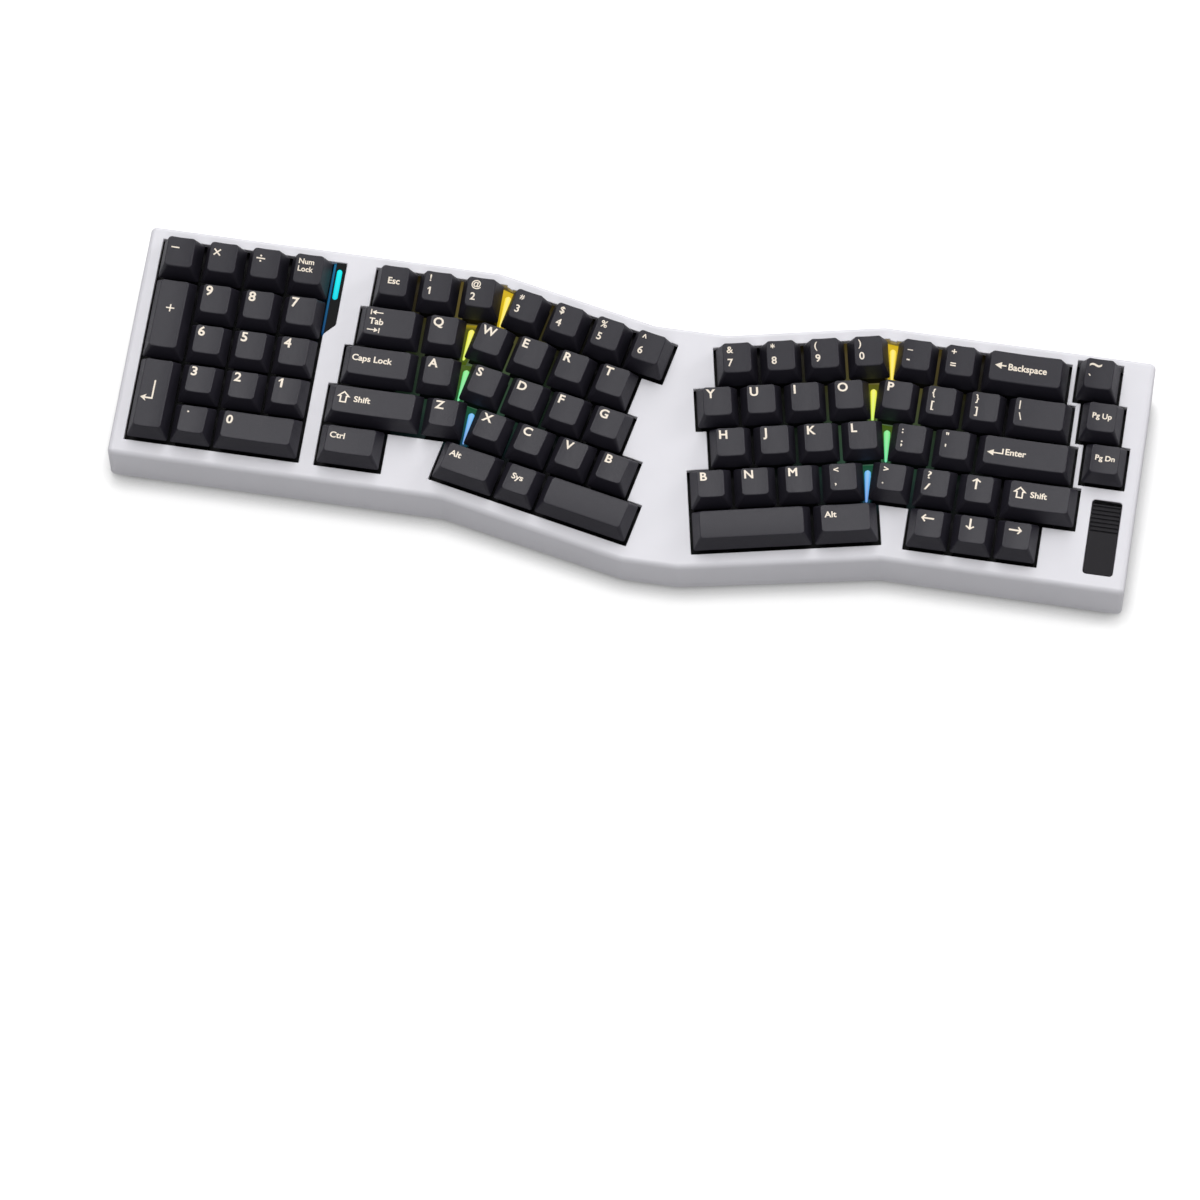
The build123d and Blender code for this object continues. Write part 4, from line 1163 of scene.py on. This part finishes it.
@dataclass
class Case:
    """The white two-part case with its base plate, ribs, feet and small set-in parts."""

    solids: tuple[RoundedSolid, ...] = (
        RoundedSolid(
            "top_case",
            WHITE_COAT,
            "white_case",
            radius=0.8,
            segments=4,
            edges=Edges.UPPER,
            square_weight=0.45,
        ),
        RoundedSolid("bottom_case", WHITE_COAT, "white_case", edges=Edges.LOWER),
        RoundedSolid("base_plate", SILVER, "silver_plate", radius=0.25, edges=Edges.LOWER),
        RoundedSolid("fin_insert", COPPER, "copper", radius=0.2),
        RoundedSolid("rubber_feet", RUBBER, "rubber", radius=0.4),
        RoundedSolid("nameplate", BLACK_ANODISED, "black_plastic", radius=0.12),
        RoundedSolid("side_insert", BLACK_ANODISED, "black_plastic", radius=0.2),
        RoundedSolid("indicator_bezel", BLACK_ACRYLIC, "dark_glass", radius=0.15),
    )

    def build(self) -> list[bpy.types.Object]:
        """Build every rounded solid of the case and return them."""
        return [solid.build() for solid in self.solids]


@dataclass
class Insides:
    """CAD nodes that keep their shape: switches, boards, foam, screws and socket."""

    def build(self) -> None:
        """Dress each node with its finish."""
        looks = {
            NYLON: ("switch_housings", "stabiliser_housings"),
            BOARD: ("circuit_board", "usb_board"),
            FOAM: ("case_foam", "gasket_pads"),
            STEEL: ("case_screws", "usb_c_socket"),
            RUBBER: ("board_cable",),
        }
        for finish, nodes in looks.items():
            for node in nodes:
                dress(node, finish)
                LOG.info("%s: dressed", node)


# Lights of the object


def gap_ends() -> list[tuple[Array, Array]]:
    """Find the gaps between a turned block and its neighbours.

    Each lies between the two runs of keys that share a node. It starts in the middle
    between their rear corners and ends in the middle between their front corners.

    Returns:
        The start and the end of each gap in deck mm.
    """
    rows: dict[str, list[KeyRun]] = {}
    for run in KEY_RUNS:
        rows.setdefault(run.node, []).append(run)
    ends = []
    for left, right in (runs for runs in rows.values() if len(runs) == 2):
        last = np.array([len(left.legends)])
        middles = [(left.spots(last, down) + right.spots(np.zeros(1), down)) / 2 for down in (0, 1)]
        ends.append((middles[0][0], middles[1][0]))
    return ends


@dataclass(frozen=True)
class Glow:
    """A piece that glows in colours which change along the deck."""

    name: str
    strength: float
    stops: tuple[tuple[float, str], ...]    # deck y in mm and the colour there
    reach: float = 0.0          # mm from the gaps at which the glow ends, 0 for no fading
    core: float = 0.0           # how far the middle of a piece's UV map turns paler
    core_colour: str = "#FFFFF3"
    base: str = "#0A0B0D"
    roughness: float = 0.5
    specular: float = 0.2
    fading: float = 3.0         # power of the fall away from the gaps
    last_row: tuple[float, float] = (-58.0, -80.0)  # deck y between which it falls to nothing

    def material(self) -> bpy.types.Material:
        """Build the glowing material.

        The share of the way from the first stop to the last, along Object y, picks the
        colour on a ramp.

        Returns:
            The material.
        """
        material = blank_material(self.name)
        tree = material.node_tree
        place = add_node(tree, "TexCoord").outputs["Object"]
        split = add_node(tree, "SeparateXYZ", None, place)
        rear, front = self.stops[0][0], self.stops[-1][0]
        start, end = DECK.along(rear, front)
        share = add_node(tree, "MapRange", Value=split.outputs["Y"], From_Min=start, From_Max=end)
        ramp = add_node(tree, "ValToRGB", Fac=share.outputs["Result"])
        elements = ramp.color_ramp.elements
        while len(elements) < len(self.stops):
            elements.new(0.5)
        for element, (y, hex_colour) in zip(elements, self.stops):
            element.position = (y - rear) / (front - rear)
            element.color = linear(hex_colour)
        colour = ramp.outputs["Color"]
        shader = add_node(
            tree,
            "BsdfPrincipled",
            Base_Color=linear(self.base),
            Roughness=self.roughness,
            Specular_IOR_Level=self.specular,
            Emission_Color=self.whiten(tree, colour) if self.core else colour,
            Emission_Strength=self.fade(tree, split) if self.reach else self.strength,
        )
        add_node(tree, "OutputMaterial", Surface=shader.outputs[0])
        return material

    def whiten(self, tree: bpy.types.NodeTree, colour: Socket) -> Socket:
        """Mix the colour towards the core's along the middle of the piece's UV map.

        Args:
            tree: the material's node tree.
            colour: the glow's colour.

        Returns:
            The paler colour.
        """
        uv = add_node(tree, "UVMap", {"uv_map": "UVMap"})
        across = add_node(tree, "SeparateXYZ", None, uv.outputs["UV"])
        hill = add_node(tree, "FloatCurve", Value=across.outputs["Y"])
        points = hill.mapping.curves[0].points
        for point, x in zip(points, (0.0, 1.0)):
            point.location = (x, 0.0)
        points.new(0.5, self.core)
        hill.mapping.update()
        share, pale = hill.outputs["Value"], linear(self.core_colour)
        mix = add_node(tree, "Mix", {"data_type": "RGBA"}, Factor=share, A=colour, B=pale)
        return mix.outputs["Result"]

    def fade(self, tree: bpy.types.NodeTree, place: bpy.types.Node) -> Socket:
        """Fade the glow with the distance from the two columns of gaps.

        The distance from the nearer column is how far the distance from the middle
        between them differs from half their spacing. The strength is
        (1 - distance / reach) to the power of the fading, times a fall to nothing over
        the last row of keys.

        Args:
            tree: the material's node tree.
            place: the separated Object coordinates.

        Returns:
            The strength socket.
        """
        middles = np.array([(start[0] + end[0]) / 2 for start, end in gap_ends()])
        left = middles[middles < CASE_MIDDLE].mean()
        right = middles[middles > CASE_MIDDLE].mean()
        distance = place.outputs["X"]
        for operation, value in (
            ("SUBTRACT", ((left + right) / 2 + DECK.origin[0]) * MM),
            ("ABSOLUTE", 0.0),
            ("SUBTRACT", (right - left) / 2 * MM),
            ("ABSOLUTE", 0.0),
        ):
            step = add_node(tree, "Math", {"operation": operation}, distance, value)
            distance = step.outputs[0]
        reach = self.reach * MM
        share = add_node(tree, "MapRange", Value=distance, From_Max=reach, To_Min=1.0, To_Max=0.0)
        start, end = DECK.along(*self.last_row)
        down = add_node(
            tree,
            "MapRange",
            Value=place.outputs["Y"],
            From_Min=end,
            From_Max=start,
            To_Min=0.0,
            To_Max=self.strength,
        )
        glow = share.outputs["Result"]
        for operation, value in (("POWER", self.fading), ("MULTIPLY", down.outputs["Result"])):
            glow = add_node(tree, "Math", {"operation": operation}, glow, value).outputs[0]
        return glow


# Anodised plate under the caps: black, with coloured light that dies away from the gaps
LIT_PLATE = Glow(
    "black_plate_lit_from_the_gaps",
    strength=0.26,
    stops=(
        (-8.0, "#E0C464"),
        (-24.0, "#C8C878"),
        (-41.0, "#90C490"),
        (-60.0, "#70B090"),
        (-80.0, "#4C8CA0"),
    ),
    reach=58.0,
)
# Frosted polycarbonate over the lamps: yellow, then green, blue at the front, paler core
LIT_WEDGE = Glow(
    "frosted_polycarbonate_lit",
    strength=1.0,
    stops=(
        (-4.0, "#FFE62C"),
        (-18.0, "#FFE82E"),
        (-24.0, "#F2EE28"),
        (-36.0, "#D2F024"),
        (-41.0, "#6CE87C"),
        (-55.0, "#46DC8A"),
        (-60.0, "#50B4F4"),
        (-76.0, "#2A80D8"),
        (-90.0, "#1E5CD0"),
    ),
    core=0.22,
)
# Smoked polycarbonate around them: glows gold at the rear pair, dull further on
LIT_FRAME = Glow(
    "smoked_polycarbonate_lit",
    strength=0.75,
    stops=(
        (-8.0, "#ECC61C"),
        (-18.0, "#D2B414"),
        (-21.0, "#646414"),
        (-40.0, "#4A640E"),
        (-56.0, "#195A30"),
        (-80.0, "#103E60"),
    ),
)
# Frosted polycarbonate lit from behind: cyan bar, blue strip that darkens to the front
CYAN_LIGHT, BLUE_LIGHT = (
    Glow(name, strength=1.0, stops=stops, base="#061016", roughness=0.4)
    for name, stops in (
        ("frosted_polycarbonate_cyan", ((-4.0, "#0BEFF2"), (-16.0, "#00D8E8"))),
        ("frosted_polycarbonate_blue", ((-2.0, "#0B658E"), (-33.0, "#08406E"))),
    )
)


@dataclass(frozen=True)
class Lens:
    """A domed light pipe with two round ends that can differ in radius, in mm."""

    head: tuple[float, float]   # deck x and y of the round ends' centres
    tail: tuple[float, float]
    head_radius: float = 1.35
    tail_radius: float = 0.45
    low: float = -6.5           # height of the flat bottom over the deck
    high: float = -3.6          # and of the upper edges
    dome: float = 0.4
    blunt: float = 0.02         # share of a round end at which its tip is cut off
    lines: int = 28             # rings from end to end
    ribs: int = 8               # segments from side to side

    def build(self) -> Surface:
        """Work out the lens.

        u runs from the rounded head to the tip, v from side to side. The half width
        goes evenly from the head's radius to the tail's, times the root of
        1 - (1 - u')^2 over the rounded ends; the top rises by the dome times 1 - v^2.
        The side walls and the flat bottom close it.

        Returns:
            The lens in metres of the frame, upper sheet first.
        """
        head, tail = np.array(self.head), np.array(self.tail)
        length = float(np.linalg.norm(tail - head))
        axis = (tail - head) / length
        across = np.array([-axis[1], axis[0]])
        start, end = -self.head_radius, length + self.tail_radius
        turn = np.linspace(0, math.pi, self.lines)
        u = start + (end - start) * (1 - np.cos(turn)) / 2
        width = self.head_radius + (self.tail_radius - self.head_radius) * np.clip(u / length, 0, 1)
        front = np.clip(1 - u / start, self.blunt, 1)
        rear = np.clip((end - u) / self.tail_radius, self.blunt, 1)
        half = width * np.sqrt(1 - (1 - front) ** 2) * np.sqrt(1 - (1 - rear) ** 2)
        v = np.linspace(-1, 1, self.ribs + 1)
        plan = head + u[:, None, None] * axis + (half[:, None] * v)[..., None] * across
        height = self.high + self.dome * (1 - v**2) * (half / half.max())[:, None]
        upper = np.concatenate([plan, height[..., None]], -1)
        lower = np.concatenate([plan, np.full((*plan.shape[:2], 1), self.low)], -1)
        loop = np.concatenate([upper, lower[:, ::-1]], 1)
        sides = skin(loop)
        number = np.arange(loop.shape[0] * loop.shape[1]).reshape(loop.shape[:2])
        ends = [self.close(number[-1]), self.close(number[0])[:, ::-1]]
        return Surface(DECK.place(loop.reshape(-1, 3)), np.vstack([sides, *ends]))

    def close(self, loop: Array) -> Array:
        """Close one end: quads between the upper and the lower half of its loop."""
        upper, lower = loop[: self.ribs + 1], loop[self.ribs + 1 :][::-1]
        return np.stack([upper[:-1], upper[1:], lower[1:], lower[:-1]], -1)

    def texture(self) -> Array:
        """Lay the UV map: u along the lens, v across it and 0 on its underside.

        Returns:
            A row of u and v for every point.
        """
        u = np.linspace(0, 1, self.lines)[:, None]
        v = np.linspace(0, 1, self.ribs + 1)[None]
        upper = np.stack(np.broadcast_arrays(u, v), -1)
        lower = np.stack(np.broadcast_arrays(u, v * 0), -1)
        return np.concatenate([upper, lower], 1).reshape(-1, 2)


@dataclass
class Lights:
    """Glowing wedges between the blocks and the indicator beside the number pad."""

    head_share: float = 0.2     # places of a wedge's round ends along its gap
    tail_share: float = 0.9
    bar: Lens = Lens(
        head=(78.9, -3.65),
        tail=(78.9, -15.85),
        head_radius=1.1,
        tail_radius=1.1,
        low=-2.0,
        high=-0.75,
        dome=0.25,
    )
    strip: Lens = Lens(
        head=(76.4, -0.2),
        tail=(76.4, -33.0),
        head_radius=0.53,
        tail_radius=0.53,
        high=-1.6,
        dome=0.2,
    )

    def build(self) -> list[bpy.types.Object]:
        """Build the light pipes and dress their frames and the plate below the keys.

        Returns:
            The new pieces.
        """
        for node, glow in (("wedge_frames", LIT_FRAME), ("switch_plate", LIT_PLATE)):
            dress(node, glow)
        wedges = [
            Lens(
                tuple(start + (end - start) * self.head_share),
                tuple(start + (end - start) * self.tail_share),
            )
            for start, end in gap_ends()
        ]
        bar = ("indicator_light_bar",)
        return [
            self.pipes("light_wedges_lenses", wedges, LIT_WEDGE, ("light_wedges",)),
            self.pipes("indicator_bar", [self.bar], CYAN_LIGHT, bar),
            self.pipes("indicator_strip", [self.strip], BLUE_LIGHT),
        ]

    def pipes(
        self,
        name: str,
        lenses: list[Lens],
        glow: Glow,
        stands_for: tuple[str, ...] = (),
    ) -> bpy.types.Object:
        """Join lenses into one piece and lay their UV map.

        Args:
            name: the piece's name.
            lenses: the lenses.
            glow: their material.
            stands_for: the CAD nodes it replaces.

        Returns:
            The new piece.
        """
        mesh = Surface.join([lens.build() for lens in lenses]).mesh(name)
        corners = np.zeros(len(mesh.loops), int)
        mesh.loops.foreach_get("vertex_index", corners)
        texture = np.vstack([lens.texture() for lens in lenses])
        mesh.uv_layers.new(name="UVMap").data.foreach_set("uv", texture[corners].ravel())
        return add_piece(mesh, glow, CASE, stands_for)


# Studio


@dataclass(frozen=True)
class Lamp:
    """A square soft lamp that faces the object."""

    name: str
    place: Point
    size: float                 # metres
    power: float                # watts


@dataclass
class Studio:
    """Pale floor, soft lamps and the camera at the photograph's viewing angle.

    Its places and sizes are in metres, but for the camera's lens and sensor.
    """

    floor_size: float = 8.0
    floor_colour: str = "#BCBCBC"
    floor_lift: float = 0.7     # glow that makes the floor white to the camera
    contact_shadow: float = 0.0085  # round the object, where the glow is held back
    shadow_power: float = 1.3   # of the shadow's fall to its edge
    shadow_samples: int = 4
    sky_light: float = 0.35     # what the sky gives the object, white being 1
    lens: float = 205.936       # mm
    sensor: float = 36.0        # mm
    farthest: float = 50.0      # how far the camera sees
    place: Point = (0.24711, -1.41543, 2.64144)
    aim: Point = (-0.00116, -0.07277, 0.0)
    roll: float = -1.4295       # degrees
    lamps: tuple[Lamp, ...] = (
        Lamp("key_lamp", (-0.3, 1.0, 2.2), 1.8, 29.5),
        Lamp("rear_lamp", (-0.2, 2.3, 1.6), 1.2, 15.0),
        Lamp("side_lamp", (1.9, 1.2, 1.2), 0.8, 12.0),
        Lamp("front_lamp", (0.3, -1.6, 1.8), 1.2, 7.5),
    )

    def build(self) -> None:
        """Set up the floor, lamps, world, camera and view."""
        self.floor()
        self.world()
        for lamp in self.lamps:
            light = bpy.data.lights.new(lamp.name, "AREA")
            light.size = lamp.size
            light.energy = lamp.power
            self.hang(light, lamp.place, (0.0, 0.0, 0.0))
        data = bpy.data.cameras.new("camera")
        data.lens = self.lens
        data.sensor_width = self.sensor
        data.clip_end = self.farthest
        bpy.context.scene.camera = self.hang(data, self.place, self.aim, self.roll)
        bpy.context.scene.view_settings.view_transform = "Standard"

    def hang(
        self, data: bpy.types.Light | bpy.types.Camera, place: Point, aim: Point, roll: float = 0.0
    ) -> bpy.types.Object:
        """Put a lamp or camera at its place, facing its aim, rolled about its axis.

        Args:
            data: the lamp or camera.
            place: its place in metres.
            aim: the point it faces.
            roll: the turn about its axis in degrees.

        Returns:
            The new object.
        """
        thing = bpy.data.objects.new(data.name, data)
        bpy.context.scene.collection.objects.link(thing)
        view = (Vector(aim) - Vector(place)).to_track_quat("-Z", "Y").to_matrix()
        turn = Matrix.Rotation(math.radians(roll), 3, "Z")
        thing.matrix_world = Matrix.Translation(place) @ (view @ turn).to_4x4()
        return thing

    def floor(self) -> None:
        """Lay a white floor that keeps the object's shadow.

        Its glow shows to the camera alone, and less so close to the object.
        """
        half = self.floor_size / 2
        corners = np.array([[-half, -half, 0], [half, -half, 0], [half, half, 0], [-half, half, 0]])
        mesh = Surface(corners, np.array([[0, 1, 2, 3]])).mesh("studio_floor")
        material = blank_material("white_paper_floor")
        tree = material.node_tree
        paper = add_node(tree, "BsdfDiffuse", Color=linear(self.floor_colour))
        lift = add_node(tree, "Emission", Color=linear("#FFFFFF"))
        sight = add_node(tree, "LightPath")
        near = add_node(
            tree,
            "AmbientOcclusion",
            {"samples": self.shadow_samples},
            Distance=self.contact_shadow,
        )
        share = near.outputs["AO"]
        for operation, value in (
            ("POWER", self.shadow_power),
            ("MULTIPLY", sight.outputs["Is Camera Ray"]),
            ("MULTIPLY", self.floor_lift),
        ):
            share = add_node(tree, "Math", {"operation": operation}, share, value).outputs[0]
        tree.links.new(share, lift.inputs["Strength"])
        both = add_node(tree, "AddShader", None, paper.outputs[0], lift.outputs[0])
        add_node(tree, "OutputMaterial", Surface=both.outputs[0])
        mesh.materials.append(material)
        floor = bpy.data.objects.new("studio_floor", mesh)
        bpy.context.scene.collection.objects.link(floor)

    def world(self) -> None:
        """Light the scene evenly with a dim sky that looks white to the camera."""
        world = bpy.data.worlds.new("white_sky")
        world.use_nodes = True
        tree = world.node_tree
        tree.nodes.clear()
        seen = add_node(tree, "LightPath").outputs["Is Camera Ray"]
        level = add_node(tree, "MapRange", Value=seen, To_Min=self.sky_light, To_Max=1.0)
        strength = level.outputs["Result"]
        sky = add_node(tree, "Background", Color=linear("#FFFFFF"), Strength=strength)
        add_node(tree, "OutputWorld", Surface=sky.outputs[0])
        bpy.context.scene.world = world


def main() -> None:
    """Build every sub-assembly in order and report each piece."""
    logging.basicConfig(level=logging.INFO, format="%(name)s: %(message)s")
    Studio().build()
    for assembly in (Case(), Keys(), Lights()):
        for piece in assembly.build():
            LOG.info("%s: %d faces", piece.name, len(piece.data.polygons))
    Insides().build()


if __name__ == "__main__":
    main()
